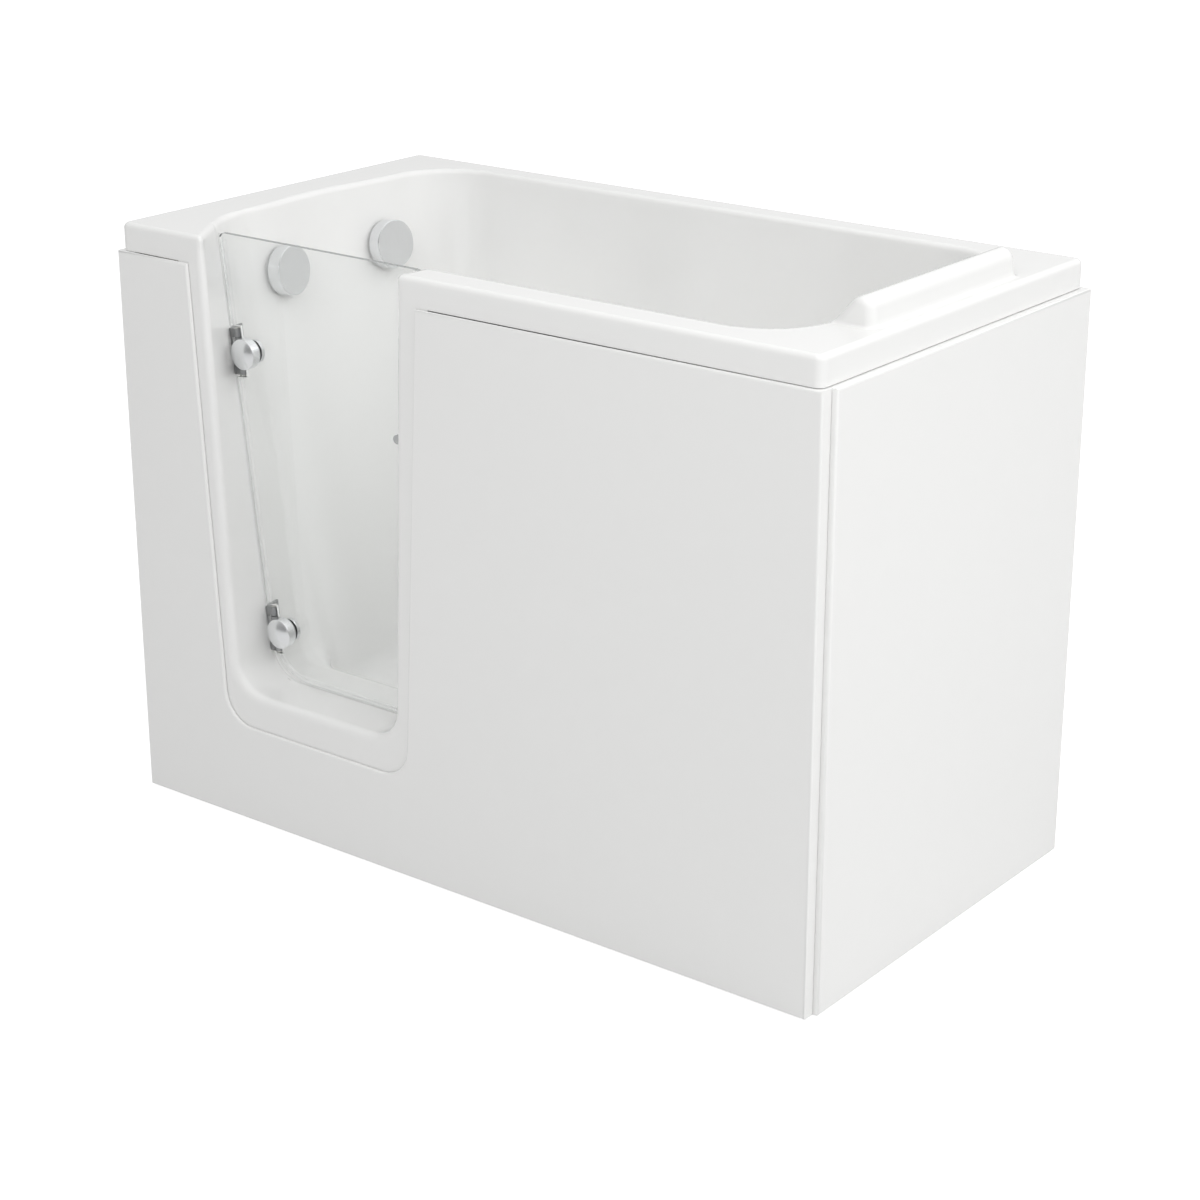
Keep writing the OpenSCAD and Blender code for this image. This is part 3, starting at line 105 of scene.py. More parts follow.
class BathColours(bpy.types.PropertyGroup):
    """Colours of the finishes."""

    acrylic: colour_property("acrylic", "Moulding and panels")
    chrome: colour_property("chrome", "Chrome")
    seal: colour_property("seal", "Door seal")
    galvanised: colour_property("galvanised", "Frame")
    zinc: colour_property("zinc", "Fasteners")
    plywood: colour_property("plywood", "Boards")
    timber: colour_property("timber", "Battens")
    pipe: colour_property("pipe", "Pipes")
    latch_plastic: colour_property("latch_plastic", "Latch bush")


# ---- shader maths ---------------------------------------------------------------------------


class Value:
    """A shader socket that takes part in arithmetic; each operation adds its Math node."""

    def __init__(self, tree, socket):
        self.tree = tree
        self.socket = socket

    def combined(self, operation, *terms):
        node = self.tree.nodes.new("ShaderNodeMath")
        node.operation = operation
        for socket, term in zip(node.inputs, terms):
            plug(self.tree, socket, term)
        return Value(self.tree, node.outputs[0])

    def __add__(self, other):
        return self.combined("ADD", self, other)

    def __sub__(self, other):
        return self.combined("SUBTRACT", self, other)

    def __rsub__(self, other):
        return self.combined("SUBTRACT", other, self)

    def __mul__(self, other):
        return self.combined("MULTIPLY", self, other)

    def __gt__(self, other):
        return self.combined("GREATER_THAN", self, other)

    def __abs__(self):
        return self.combined("ABSOLUTE", self)


def plug(tree, socket, term):
    """Links a Value to a socket, or sets the socket to a plain number, colour or vector."""
    if isinstance(term, Value):
        tree.links.new(term.socket, socket)
    elif socket.type == "RGBA" and len(term) == 3:
        socket.default_value = (*term, 1.0)
    else:
        socket.default_value = term


class Finish:
    """A material built round one Principled shader."""

    def __init__(self, name, colour, roughness, metallic=0.0, **plain):
        self.material = bpy.data.materials.new(name)
        self.material.use_nodes = True
        self.tree = self.material.node_tree
        self.shader = self.tree.nodes["Principled BSDF"]
        self.output = self.tree.nodes["Material Output"]
        self.set("Base Color", tuple(colour))
        self.set("Roughness", roughness)
        self.set("Metallic", metallic)
        for key, value in plain.items():
            self.set(key.replace("_", " ").title().replace("Ior", "IOR"), value)
        self.place = self.node("ShaderNodeTexCoord", output="Object")

    def set(self, name, term):
        plug(self.tree, self.shader.inputs[name], term)

    def node(self, kind, output=0, **inputs):
        """Any node, with its sockets set by their names."""
        node = self.tree.nodes.new(kind)
        for key, value in inputs.items():
            plug(self.tree, node.inputs[key.replace("_", " ")], value)
        return Value(self.tree, node.outputs[output])

    def spread(self, scale):
        """Object coordinates scaled by three numbers per metre."""
        return self.node("ShaderNodeMapping", Vector=self.place, Scale=scale)

    def noise(self, scale, detail=2.0, roughness=0.5):
        return self.node("ShaderNodeTexNoise", Vector=self.spread(scale), Scale=1.0,
                         Detail=detail, Roughness=roughness)

    def mixed(self, factor, first, second):
        """Colour mix of two colours by a factor from 0 to 1."""
        node = self.tree.nodes.new("ShaderNodeMix")
        node.data_type = "RGBA"
        for socket, term in zip((node.inputs[0], node.inputs[6], node.inputs[7]),
                                (factor, first, second)):
            plug(self.tree, socket, term)
        return Value(self.tree, node.outputs[2])

    def height(self, height, distance):
        """Feeds a height of 0 to 1 to the normal; distance is in metres."""
        self.set("Normal", self.node("ShaderNodeBump", Height=height, Distance=distance,
                                     Strength=1.0))

    def axis(self, name):
        return self.node("ShaderNodeSeparateXYZ", Vector=self.place, output=name)


def scaled(colour, share):
    """A colour made darker or lighter by a share, up to white."""
    return tuple(min(1.0, c * share) for c in colour)


def acrylic_finish(colours):
    """Gloss white acrylic: faint long waves of the vacuum-formed sheet and a light haze."""
    f = Finish("gloss_acrylic", colours.acrylic, 0.16, coat_weight=0.35, coat_roughness=0.06)
    waves = f.noise((7.0, 7.0, 7.0), detail=1.0)
    haze = f.noise((45.0, 45.0, 45.0), detail=3.0)
    f.set("Base Color", f.mixed(haze * 0.5, colours.acrylic, scaled(colours.acrylic, 0.985)))
    f.set("Roughness", haze * 0.06 + 0.13)
    f.height(waves, 0.0006)
    return f.material


def glass_finish():
    """Clear glass with a faint cool tint that lets the lamps through."""
    f = Finish("clear_glass", (0.92, 0.93, 0.927), 0.0, transmission_weight=1.0, ior=1.45)
    cloud = f.noise((6.0, 6.0, 6.0), detail=1.0)
    f.set("Base Color", f.mixed(cloud, (0.918, 0.926, 0.924), (0.926, 0.934, 0.932)))
    lamp = f.node("ShaderNodeLightPath", output="Is Shadow Ray")
    clear = f.node("ShaderNodeBsdfTransparent", Color=(0.962, 0.966, 0.965))
    mix = f.tree.nodes.new("ShaderNodeMixShader")
    plug(f.tree, mix.inputs[0], lamp)
    plug(f.tree, mix.inputs[1], Value(f.tree, f.shader.outputs[0]))
    plug(f.tree, mix.inputs[2], clear)
    f.tree.links.new(mix.outputs[0], f.output.inputs["Surface"])
    return f.material


def chrome_finish(colours):
    """Polished chrome with faint wiping marks in its gloss."""
    f = Finish("polished_chrome", colours.chrome, 0.06, metallic=1.0)
    marks = f.noise((220.0, 220.0, 60.0), detail=4.0, roughness=0.6)
    f.set("Roughness", marks * 0.07 + 0.03)
    f.set("Base Color", f.mixed(marks, scaled(colours.chrome, 0.97), scaled(colours.chrome, 1.02)))
    return f.material


def glass_edge_finish():
    """Ground and polished upper edge of the glass: satin grey with a faint green."""
    f = Finish("ground_glass_edge", (0.32, 0.335, 0.33), 0.25)
    grain = f.noise((300.0, 300.0, 300.0), detail=2.0)
    f.set("Base Color", f.mixed(grain, (0.29, 0.305, 0.30), (0.35, 0.365, 0.36)))
    f.set("Roughness", grain * 0.2 + 0.18)
    return f.material


def soft_chrome_finish(colours):
    """Chrome with a fine satin bloom, for the hinges' domes."""
    f = Finish("soft_chrome", colours.chrome, 0.3, metallic=1.0)
    bloom = f.noise((140.0, 140.0, 140.0), detail=4.0, roughness=0.6)
    f.set("Roughness", bloom * 0.08 + 0.2)
    f.set("Base Color", f.mixed(bloom, scaled(colours.chrome, 1.04), scaled(colours.chrome, 1.1)))
    return f.material


def chrome_painted_darker_finish(colours):
    """Satin-polished chrome of the hinges' leaves and straps and the latch's lever, with painted
    reflection: a darker copy of the chrome that stands for the dark surroundings these plates mirror."""
    # Painted reflection: the base colour is the chrome's darkened to 0.46 for the dark surroundings the plates
    # mirror
    f = Finish("satin_steel", scaled(colours.chrome, 0.46), 0.3, metallic=1.0)
    brush = f.noise((90.0, 90.0, 900.0), detail=4.0, roughness=0.6)
    f.set("Roughness", brush * 0.14 + 0.24)
    # Painted reflection: the brushing varies the darkened chrome between 0.4 and 0.52 of its colour
    f.set("Base Color", f.mixed(brush, scaled(colours.chrome, 0.4), scaled(colours.chrome, 0.52)))
    return f.material


def seal_finish(colours):
    """Soft clear vinyl, a little milky."""
    f = Finish("clear_vinyl", colours.seal, 0.3, alpha=0.07)
    cloud = f.noise((120.0, 120.0, 120.0), detail=3.0)
    f.set("Base Color", f.mixed(cloud, scaled(colours.seal, 1.1), scaled(colours.seal, 1.18)))
    f.set("Roughness", cloud * 0.15 + 0.25)
    return f.material


def galvanised_finish(colours):
    """Hot-dip galvanised steel: crystals of different greys and gloss."""
    f = Finish("galvanised_steel", colours.galvanised, 0.4, metallic=0.9)
    crystal = f.node("ShaderNodeTexVoronoi", Vector=f.spread((90.0, 90.0, 90.0)), Scale=1.0,
                     output="Color")
    grey = f.node("ShaderNodeSeparateColor", Color=crystal, output="Red")
    cloud = f.noise((25.0, 25.0, 25.0), detail=4.0)
    f.set("Base Color", f.mixed(grey * 0.6 + cloud * 0.4, scaled(colours.galvanised, 0.82),
                                scaled(colours.galvanised, 1.2)))
    f.set("Roughness", grey * 0.2 + cloud * 0.1 + 0.28)
    f.height(grey * 0.5 + cloud, 0.0001)
    return f.material


def zinc_finish(colours):
    """Zinc-plated fasteners with a slightly warm, cloudy sheen."""
    f = Finish("zinc_plate", colours.zinc, 0.3, metallic=1.0)
    cloud = f.noise((160.0, 160.0, 160.0), detail=4.0)
    f.set("Base Color", f.mixed(cloud, scaled(colours.zinc, 0.88), (0.72, 0.71, 0.65)))
    f.set("Roughness", cloud * 0.2 + 0.2)
    return f.material


def board_finish(colours):
    """Plywood: grain along the bath on its faces and thin plies on its edges."""
    f = Finish("birch_plywood", colours.plywood, 0.55)
    grain = f.noise((3.0, 60.0, 60.0), detail=5.0, roughness=0.65)
    figure = f.noise((1.5, 9.0, 9.0), detail=2.0)
    plies = 2240.0  # radians per metre: a pale and a dark ply in 2.8 mm
    face = f.mixed(grain * 0.6 + figure * 0.4, scaled(colours.plywood, 0.78),
                   scaled(colours.plywood, 1.2))
    ply = f.axis("Z").combined("SINE", f.axis("Z") * plies) * 0.5 + 0.5
    edge = f.mixed(ply, scaled(colours.plywood, 0.6), scaled(colours.plywood, 1.1))
    upright = f.node("ShaderNodeSeparateXYZ", output="Z",
                     Vector=f.node("ShaderNodeTexCoord", output="Normal"))
    f.set("Base Color", f.mixed(abs(upright) > 0.5, edge, face))
    f.set("Roughness", grain * 0.2 + 0.45)
    f.height(grain, 0.0003)
    return f.material


def timber_finish(colours, name, scale):
    """Sawn softwood: long rings and fine fibres that follow the batten's length."""
    f = Finish(name, colours.timber, 0.6)
    rings = f.noise(tuple(s * 0.35 for s in scale), detail=2.0)
    wave = rings.combined("SINE", rings * 38.0) * 0.5 + 0.5
    fibres = f.noise(tuple(s * 3.0 for s in scale), detail=5.0, roughness=0.7)
    f.set("Base Color", f.mixed(wave * 0.55 + fibres * 0.45, scaled(colours.timber, 1.12),
                                scaled(colours.timber, 0.7)))
    f.set("Roughness", fibres * 0.25 + 0.5)
    f.height(fibres, 0.0004)
    return f.material


def pipe_finish(colours):
    """Satin white drainage plastic."""
    f = Finish("drain_plastic", colours.pipe, 0.32)
    skin = f.noise((260.0, 260.0, 260.0), detail=3.0)
    f.set("Base Color", f.mixed(skin, scaled(colours.pipe, 0.97), scaled(colours.pipe, 1.02)))
    f.set("Roughness", skin * 0.14 + 0.26)
    f.height(skin, 0.00005)
    return f.material


def black_finish(name, colour, roughness):
    """Black rubber or cable jacket with a fine moulded grain, between darker and lighter spots
    of its colour."""
    f = Finish(name, colour, roughness)
    skin = f.noise((700.0, 700.0, 700.0), detail=3.0)
    f.set("Base Color", f.mixed(skin, scaled(colour, 0.8), scaled(colour, 1.5)))
    f.set("Roughness", skin * 0.2 + roughness - 0.1)
    f.height(skin, 0.00004)
    return f.material


def foot_finish(colours):
    """Levelling foot: a black nylon pad below, a zinc-plated stud above."""
    f = Finish("foot_pad_and_stud", colours.zinc, 0.35, metallic=1.0)
    pad_top, pitch = 0.0101, 3590.0  # metres, and radians per metre: a turn in 1.75 mm
    stud = f.axis("Z") > pad_top
    cloud = f.noise((160.0, 160.0, 160.0), detail=4.0)
    thread = f.axis("Z").combined("SINE", f.axis("Z") * pitch) * 0.5 + 0.5
    f.set("Base Color", f.mixed(stud, (0.03, 0.03, 0.032), colours.zinc))
    f.set("Metallic", stud * 1.0)
    f.set("Roughness", cloud * 0.15 + 0.3)
    f.height(thread * stud, 0.0006)
    return f.material


def bush_finish(colours):
    """Glossy pale grey plastic of the latch's bush in the glass."""
    f = Finish("latch_grey", colours.latch_plastic, 0.2, coat_weight=0.3, coat_roughness=0.08)
    skin = f.noise((90.0, 90.0, 90.0), detail=3.0)
    f.set("Base Color", f.mixed(skin, scaled(colours.latch_plastic, 0.97), colours.latch_plastic))
    f.set("Roughness", skin * 0.08 + 0.14)
    return f.material


FINISHES = {}


def finish(name):
    """The finish of that name, made once from the scene's colours."""
    makers = {
        "acrylic": acrylic_finish, "seal": seal_finish, "latch_plastic": bush_finish,
        "chrome": chrome_finish, "soft_chrome": soft_chrome_finish,
        "hinge_steel": chrome_painted_darker_finish, "galvanised": galvanised_finish,
        "steel": zinc_finish, "zinc": zinc_finish, "foot": foot_finish,
        "plywood": board_finish, "pipe": pipe_finish,
        "glass": lambda colours: glass_finish(),
        "glass_edge": lambda colours: glass_edge_finish(),
        "timber": lambda colours: timber_finish(colours, "sawn_batten_long", (2.0, 45.0, 45.0)),
        "timber_across": lambda colours: timber_finish(colours, "sawn_batten_across",
                                                       (45.0, 2.0, 45.0)),
        "cable": lambda colours: black_finish("cable_jacket", (0.03, 0.03, 0.032), 0.45),
        "rubber": lambda colours: black_finish("black_rubber", (0.028, 0.028, 0.028), 0.6),
    }
    if name not in FINISHES:
        FINISHES[name] = makers[name](bpy.context.scene.bath_colours)
    return FINISHES[name]


# ---- making and placing pieces --------------------------------------------------------------


def add_piece(name, mesh, finish_name, body, slot, *nodes):
    """Puts a mesh in the scene as a piece that rides on a body and stands for CAD nodes."""
    piece = bpy.data.objects.new(name, mesh)
    bpy.context.scene.collection.objects.link(piece)
    mesh.materials.clear()
    mesh.materials.append(finish(finish_name))
    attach(piece, body)
    if nodes:
        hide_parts(*nodes)
    return piece


def shade_smooth(mesh):
    """Smooth shading on every face."""
    mesh.polygons.foreach_set("use_smooth", np.ones(len(mesh.polygons), dtype=bool))


def mesh_from(name, points, faces):
    """Smooth mesh from an array of points in metres and a list of rows of corner numbers."""
    mesh = bpy.data.meshes.new(name)
    mesh.from_pydata(points.tolist(), [], faces)
    shade_smooth(mesh)
    mesh.update()
    return mesh


def mesh_of(work, name):
    """Smooth mesh from an edited one, which is freed."""
    mesh = bpy.data.meshes.new(name)
    work.to_mesh(mesh)
    work.free()
    shade_smooth(mesh)
    return mesh


def even_shading(piece):
    """Weighted normals, so that flat faces stay flat beside their small rounded edges."""
    modifier = piece.modifiers.new("even_shading", "WEIGHTED_NORMAL")
    modifier.mode = "FACE_AREA"
    modifier.keep_sharp = True
    modifier.weight = 60


def merged_copy(node):
    """A CAD node's mesh with its loose triangles joined and its flat faces made one again."""
    work = bmesh.new()
    work.from_mesh(NODES[node].data)
    bmesh.ops.remove_doubles(work, verts=work.verts, dist=2e-6)
    bmesh.ops.dissolve_limit(work, angle_limit=math.radians(0.6), verts=work.verts,
                             edges=work.edges)
    return work


def softened(name, node, edge, finish_name, body, slot, steps=3, limit=28):
    """A CAD node with its edges rounded: the merged mesh, a bevel and even shading."""
    piece = add_piece(name, mesh_of(merged_copy(node), name), finish_name, body, slot, node)
    bevel = piece.modifiers.new("rounded_edges", "BEVEL")
    bevel.width = edge
    bevel.segments = steps
    bevel.limit_method = "ANGLE"
    bevel.angle_limit = math.radians(limit)
    bevel.use_clamp_overlap = True
    even_shading(piece)
    return piece


def rounded_profile(corners, steps=5):
    """Points [radius, height] of a half section: each corner with a radius becomes an arc whose
    centre lies on the bisector, at the distance where the arc touches both sides."""
    out = []
    for i, (x, y, r) in enumerate(corners):
        if r == 0 or i in (0, len(corners) - 1):
            out.append((x, y))
            continue
        p = np.array([x, y])
        a = np.array(corners[i - 1][:2]) - p
        b = np.array(corners[i + 1][:2]) - p
        a, b = a / np.linalg.norm(a), b / np.linalg.norm(b)
        half = math.acos(float(np.clip(a @ b, -1, 1))) / 2
        middle = p + (a + b) / np.linalg.norm(a + b) * r / math.sin(half)
        start, end = p + a * r / math.tan(half) - middle, p + b * r / math.tan(half) - middle
        first = math.atan2(start[1], start[0])
        turn = (math.atan2(end[1], end[0]) - first + math.pi) % (2 * math.pi) - math.pi
        angles = first + turn * np.linspace(0, 1, steps + 1)
        out += [(middle[0] + r * math.cos(t), middle[1] + r * math.sin(t)) for t in angles]
    return np.array(out)


def grid_faces(rows, ring):
    """Rows of four corner numbers over a grid of points whose rows are closed rings: each corner,
    its neighbour in the ring and the same two in the next row."""
    i, j = np.meshgrid(np.arange(rows - 1), np.arange(ring), indexing="ij")
    beside = (j + 1) % ring
    return np.stack([i * ring + j, i * ring + beside, (i + 1) * ring + beside,
                     (i + 1) * ring + j], axis=-1).reshape(-1, 4)


def turned_mesh(name, profile, origin, axis, segments):
    """Surface of revolution: the profile's point (radius, height) at angle t goes to
    origin + axis * height + (side * cos t + up * sin t) * radius. All is in metres."""
    axis = np.array(axis) / np.linalg.norm(axis)
    side = np.cross(axis, (0.0, 0.0, 1.0) if abs(axis[2]) < 0.9 else (0.0, 1.0, 0.0))
    side /= np.linalg.norm(side)
    up = np.cross(axis, side)
    angles = np.linspace(0, 2 * math.pi, segments, endpoint=False)
    ring = np.outer(np.cos(angles), side) + np.outer(np.sin(angles), up)
    cloud = (np.array(origin) + profile[:, 1, None, None] * axis
             + profile[:, 0, None, None] * ring[None])
    mesh = mesh_from(name, cloud.reshape(-1, 3), grid_faces(len(profile), segments).tolist())
    work = bmesh.new()
    work.from_mesh(mesh)
    bmesh.ops.remove_doubles(work, verts=work.verts, dist=1e-6)
    bmesh.ops.recalc_face_normals(work, faces=work.faces)
    work.to_mesh(mesh)
    work.free()
    return mesh


def turned_piece(name, profile, origin, axis, segments, finish_name, body, node):
    """A turned piece that stands for a CAD node, with sharp edges kept."""
    mesh = turned_mesh(name, profile, origin, axis, segments)
    mesh.set_sharp_from_angle(angle=math.radians(50))
    even_shading(add_piece(name, mesh, finish_name, body, "chrome", node))


# ---- the moulding as a zero set -------------------------------------------------------------

# Heights above the floor, in millimetres, as every length in this part
RIM = 882.0
SKIRT_FOOT = 842.0
SEAT = 440.0
FLOOR = 120.0
SILL = 203.0
HEADREST_TOP = 920.0
PLUG_SEAT = 123.3
HINGES = {"upper": 697.5, "lower": 279.5}

# Places along the bath of the well's two end walls at the rim, of the seat and of the wastes
DOOR_END = 92.0
SEAT_END = 1118.0
SEAT_FRONT = 640.0
WASTE_X = 275.0

# Places across the bath: the doorway's face, the glass, the reveals' ends, the well and wastes
FACE = 5.0
GLASS_FRONT = 80.0
GLASS_MIDDLE = 84.0
REVEAL_END = 176.667
DOORWAY_BACK = 242.6
WELL_FRONT = 62.0
WELL_BACK = 602.0
WASTES = {"front": 330.0, "back": 458.0}

# How far each wall leans inwards for each millimetre below the rim, and the pins' angle
DOOR_END_LEAN = 0.11447
SEAT_END_LEAN = 0.1
FRONT_LEAN = 0.2
BACK_LEAN = 0.06
JAMB_LEAN = 0.04541
FACE_LEAN = 0.03842
SURROUND_LEAN = 0.05329
PIN_LEAN = math.radians(6.53)

# The rim's block: its middle, its half sizes and its corners' radius
BLOCK = ((605, 327.5), (600, 322.5), 12)
MIDDLE_LINE = 325.0

# The doorway's lower corners, and the plane where its opening stops: 40 mm inside the well's
# front wall at the foot of the doorway's face
DOORWAY_CORNER = 48.0
FACE_SILL = 204.0
DOORWAY_PLANE = WELL_FRONT + FRONT_LEAN * (RIM - FACE_SILL) + 40

# A distance that puts a point out of a hole's reach
FAR = 1e3


def met(a, b, r):
    """Two solids' common part with its edge rounded: a distance is negative inside. Beyond the
    rounding it is the larger distance, and inside it the distance from an arc of radius r."""
    return (np.minimum(-r, np.maximum(a, b))
            + np.hypot(np.maximum(r + a, 0), np.maximum(r + b, 0)))


def joined(a, b, r):
    """Two solids together with a fillet of radius r between them."""
    return -met(-a, -b, r)


def box_distance(x, y, middle, half, r):
    """Distance from an upright rounded box: the length outside its shrunken box, less r."""
    u, v = np.abs(x - middle[0]) - half[0] + r, np.abs(y - middle[1]) - half[1] + r
    return np.minimum(np.maximum(u, v), 0) + np.hypot(np.maximum(u, 0), np.maximum(v, 0)) - r


def well_distance(x, y, z):
    """Distance from the well's walls: a rounded box whose sides lean out with height, and whose
    door end bows outwards by a raised cosine. Along the bath it is divided by the slant length
    of the nearer end wall for each unit of height."""
    d = RIM - z
    left, right = DOOR_END + DOOR_END_LEAN * d, SEAT_END - SEAT_END_LEAN * d
    front, back = WELL_FRONT + FRONT_LEAN * d, WELL_BACK - BACK_LEAN * d
    r = 95 - 0.065 * d
    t = np.clip((y - (front + back) / 2) / ((back - front) / 2 - r), -1, 1)
    bow = 6 * (1 + np.cos(np.pi * t))
    middle = (left + right) / 2
    x = x + bow * np.clip((middle - x) / (middle - left), 0, 1)
    slant = np.where(x < middle, 1.0065, 1.005)
    return box_distance(x, y, (middle, (front + back) / 2),
                        ((right - left) / 2, (back - front) / 2), r) / slant


def seat_distance(x, z):
    """Distance from the seat: below its top and behind its leaning front, with a round nose."""
    return met(SEAT_FRONT - 0.08 * (SEAT - z) - x, z - SEAT, 25)


def left_reveal(y):
    """Place along the bath, at the rim's height, of the left reveal: straight lines between its
    places at the face, at the glass, at the well's end wall and inside the well."""
    return np.interp(y, [FACE, GLASS_FRONT, REVEAL_END, DOORWAY_BACK], [169, 121, DOOR_END, 100])


def right_reveal(y):
    """Place along the bath, at the rim's height, of the right reveal, in the same way."""
    return np.interp(y, [FACE, GLASS_FRONT, DOORWAY_BACK], [532, 541, 567])


def doorway_distance(x, y, z):
    """Distance from the doorway's opening: between two leaning reveals and above the sill, up to
    a plane inside the well. The lower corners grow tighter behind the glass, so that the open
    door's seal clears them."""
    d = RIM - z
    sill = np.interp(y, [FACE, GLASS_FRONT, 92, DOORWAY_BACK], [FACE_SILL, SILL, SILL, 179.1])
    left_lean = np.interp(y, [FACE, GLASS_FRONT], [FACE_LEAN, DOOR_END_LEAN])
    right_lean = np.interp(y, [FACE, GLASS_FRONT], [FACE_LEAN, JAMB_LEAN])
    left_slant = np.where(y < GLASS_FRONT, 1.186, 1.05)
    walls = np.maximum((left_reveal(y) + left_lean * d - x) / left_slant,
                       (x - right_reveal(y) + right_lean * d) / 1.01)
    walls = np.maximum(walls, y - DOORWAY_PLANE)
    return met(walls, sill - z, np.interp(y, [90, 125], [DOORWAY_CORNER, 36]))


def headrest_distance(x, y, z):
    """Distance from the headrest: below its sloping front, its top and its steep back, with
    rounded edges, behind the well's end wall and between two upright ends."""
    foot_x, foot_z, back_x, half_width = 1121, 880.5, 1184, 178
    front = 0.666 * (z - foot_z) - 0.746 * (x - foot_x)
    back = (x - back_x + 0.13 * (z - RIM)) / 1.008
    ridge = met(met(front, z - HEADREST_TOP, 8), back, 15)
    face = SEAT_END + SEAT_END_LEAN * (z - RIM) - x
    return met(met(ridge, face, 4), np.abs(y - MIDDLE_LINE) - half_width, 12)


def moulding_distance(x, y, z):
    """Distance from the bath taken as solid below its top surface: the rim's rounded block, less
    the well above its floor and seat, less the doorway, with rounded lips, plus the headrest."""
    block = met(box_distance(x, y, *BLOCK), z - RIM, 8)
    seat_fillet, floor_fillet, rim_lip, doorway_lip = 40, 35, 8, 11
    walls = joined(-well_distance(x, y, z), seat_distance(x, z), seat_fillet)
    walls = joined(walls, z - FLOOR, floor_fillet)
    walls = met(walls, -doorway_distance(x, y, z), doorway_lip)
    lip = np.clip(rim_lip + (RIM - 10 - z) * 0.25, rim_lip, doorway_lip)
    return joined(met(block, walls, lip), headrest_distance(x, y, z), 5)


def surround_distance(x, z):
    """Distance from the plate round the doorway, behind the panel's cut-out, in its plane."""
    d = RIM - z
    left, right = 119 + SURROUND_LEAN * d, 590 - SURROUND_LEAN * d
    return met(np.maximum(left - x, x - right), 133 - z, 70)


def slope_of(field, p, step=0.3):
    """Gradient of a field at points, by central differences."""
    out = np.empty_like(p)
    for axis in range(3):
        move = np.zeros(3)
        move[axis] = step
        out[:, axis] = (field(*(p + move).T) - field(*(p - move).T)) / (2 * step)
    return out


def graded(*stretches):
    """Grid lines from stretches of (start, end, widest step)."""
    lines = [np.linspace(a, b, max(2, int(math.ceil((b - a) / step)) + 1))
             for a, b, step in stretches]
    return np.unique(np.round(np.concatenate(lines), 4))


def net_over(field, xs, ys, zs):
    """Net of quads over a field's zero set: each grid cell that the set crosses gets one point,
    the mean of its edges' crossings, and each crossed edge joins its four cells' points."""
    values = field(*np.meshgrid(xs, ys, zs, indexing="ij"))
    inside = values < 0
    cells = tuple(n - 1 for n in values.shape)
    total, count = np.zeros((*cells, 3)), np.zeros(cells)
    grids = (xs, ys, zs)
    crossed = []
    for axis in range(3):
        low = [slice(None)] * 3
        high = [slice(None)] * 3
        low[axis], high[axis] = slice(0, -1), slice(1, None)
        change = inside[tuple(low)] != inside[tuple(high)]
        at = np.argwhere(change)
        a, b = values[tuple(low)][change], values[tuple(high)][change]
        t = a / (a - b)
        place = np.stack([grids[k][at[:, k]] for k in range(3)], axis=1).astype(float)
        line = grids[axis]
        place[:, axis] += t * (line[at[:, axis] + 1] - line[at[:, axis]])
        others = [k for k in range(3) if k != axis]
        for da in (0, -1):
            for db in (0, -1):
                cell = at.copy()
                cell[:, others[0]] += da
                cell[:, others[1]] += db
                good = np.all((cell >= 0) & (cell < np.array(cells)), axis=1)
                where = tuple(cell[good].T)
                np.add.at(total, where, place[good])
                np.add.at(count, where, 1)
        crossed.append((axis, others, at, a < 0))
    number = np.full(cells, -1)
    used = count > 0
    number[used] = np.arange(used.sum())
    points = total[used] / count[used][:, None]
    quads = []
    for axis, others, at, starts_inside in crossed:
        good = ((at[:, others[0]] > 0) & (at[:, others[1]] > 0)
                & (at[:, others[0]] < cells[others[0]]) & (at[:, others[1]] < cells[others[1]]))
        at, starts_inside = at[good], starts_inside[good]
        ring = []
        for da, db in ((-1, -1), (0, -1), (0, 0), (-1, 0)):
            cell = at.copy()
            cell[:, others[0]] += da
            cell[:, others[1]] += db
            ring.append(number[tuple(cell.T)])
        quad = np.stack(ring, axis=1)
        flip = starts_inside if axis == 1 else ~starts_inside
        quad[flip] = quad[flip][:, ::-1]
        quads.append(quad)
    return points, np.concatenate(quads)


def drawn_to(field, points):
    """Moves points along the field's gradient onto its zero set, by 3 mm at most each time."""
    longest = 3.0
    for _ in range(6):
        slope = slope_of(field, points)
        value = field(*points.T)
        move = (value / np.maximum((slope ** 2).sum(axis=1), 0.2))[:, None] * slope
        length = np.linalg.norm(move, axis=1, keepdims=True)
        points = points - move * np.minimum(1, longest / np.maximum(length, 1e-9))
    return points


def border_of(quads):
    """Edges that belong to one quad only, with that quad's direction."""
    ends = np.concatenate([quads[:, [k, (k + 1) % 4]] for k in range(4)])
    key = np.sort(ends, axis=1)
    _, back, times = np.unique(key, axis=0, return_inverse=True, return_counts=True)
    return ends[times[back.ravel()] == 1]


def without_loose(points, quads):
    """Drops the points that no quad uses."""
    used = np.unique(quads)
    number = np.full(len(points), -1)
    number[used] = np.arange(len(used))
    return points[used], number[quads]


def waste_hole(p):
    """Positive inside the two round bores in the foot well's floor: their radius less the
    distance from the nearer axis."""
    bore = 23.0
    radius = np.min([np.hypot(p[:, 0] - WASTE_X, p[:, 1] - y) for y in WASTES.values()], axis=0)
    return bore - radius - (p[:, 2] > FLOOR + 10) * FAR


def overflow_hole(p):
    """Positive inside the two round bores in the end wall, about the dials' axes."""
    bore, reach = 22.0, 20
    distance = np.full(len(p), FAR)
    for name in ("front_dial_turn", "back_dial_turn"):
        axis = np.array(JOINTS[name]["axis"])
        middle = (np.array(JOINTS[name]["pos_m"]) + CORNER) * 1000
        off = p - middle
        along = off @ axis
        radius = np.linalg.norm(off - along[:, None] * axis, axis=1)
        distance = np.minimum(distance, radius + (np.abs(along) > reach) * FAR)
    return bore - distance


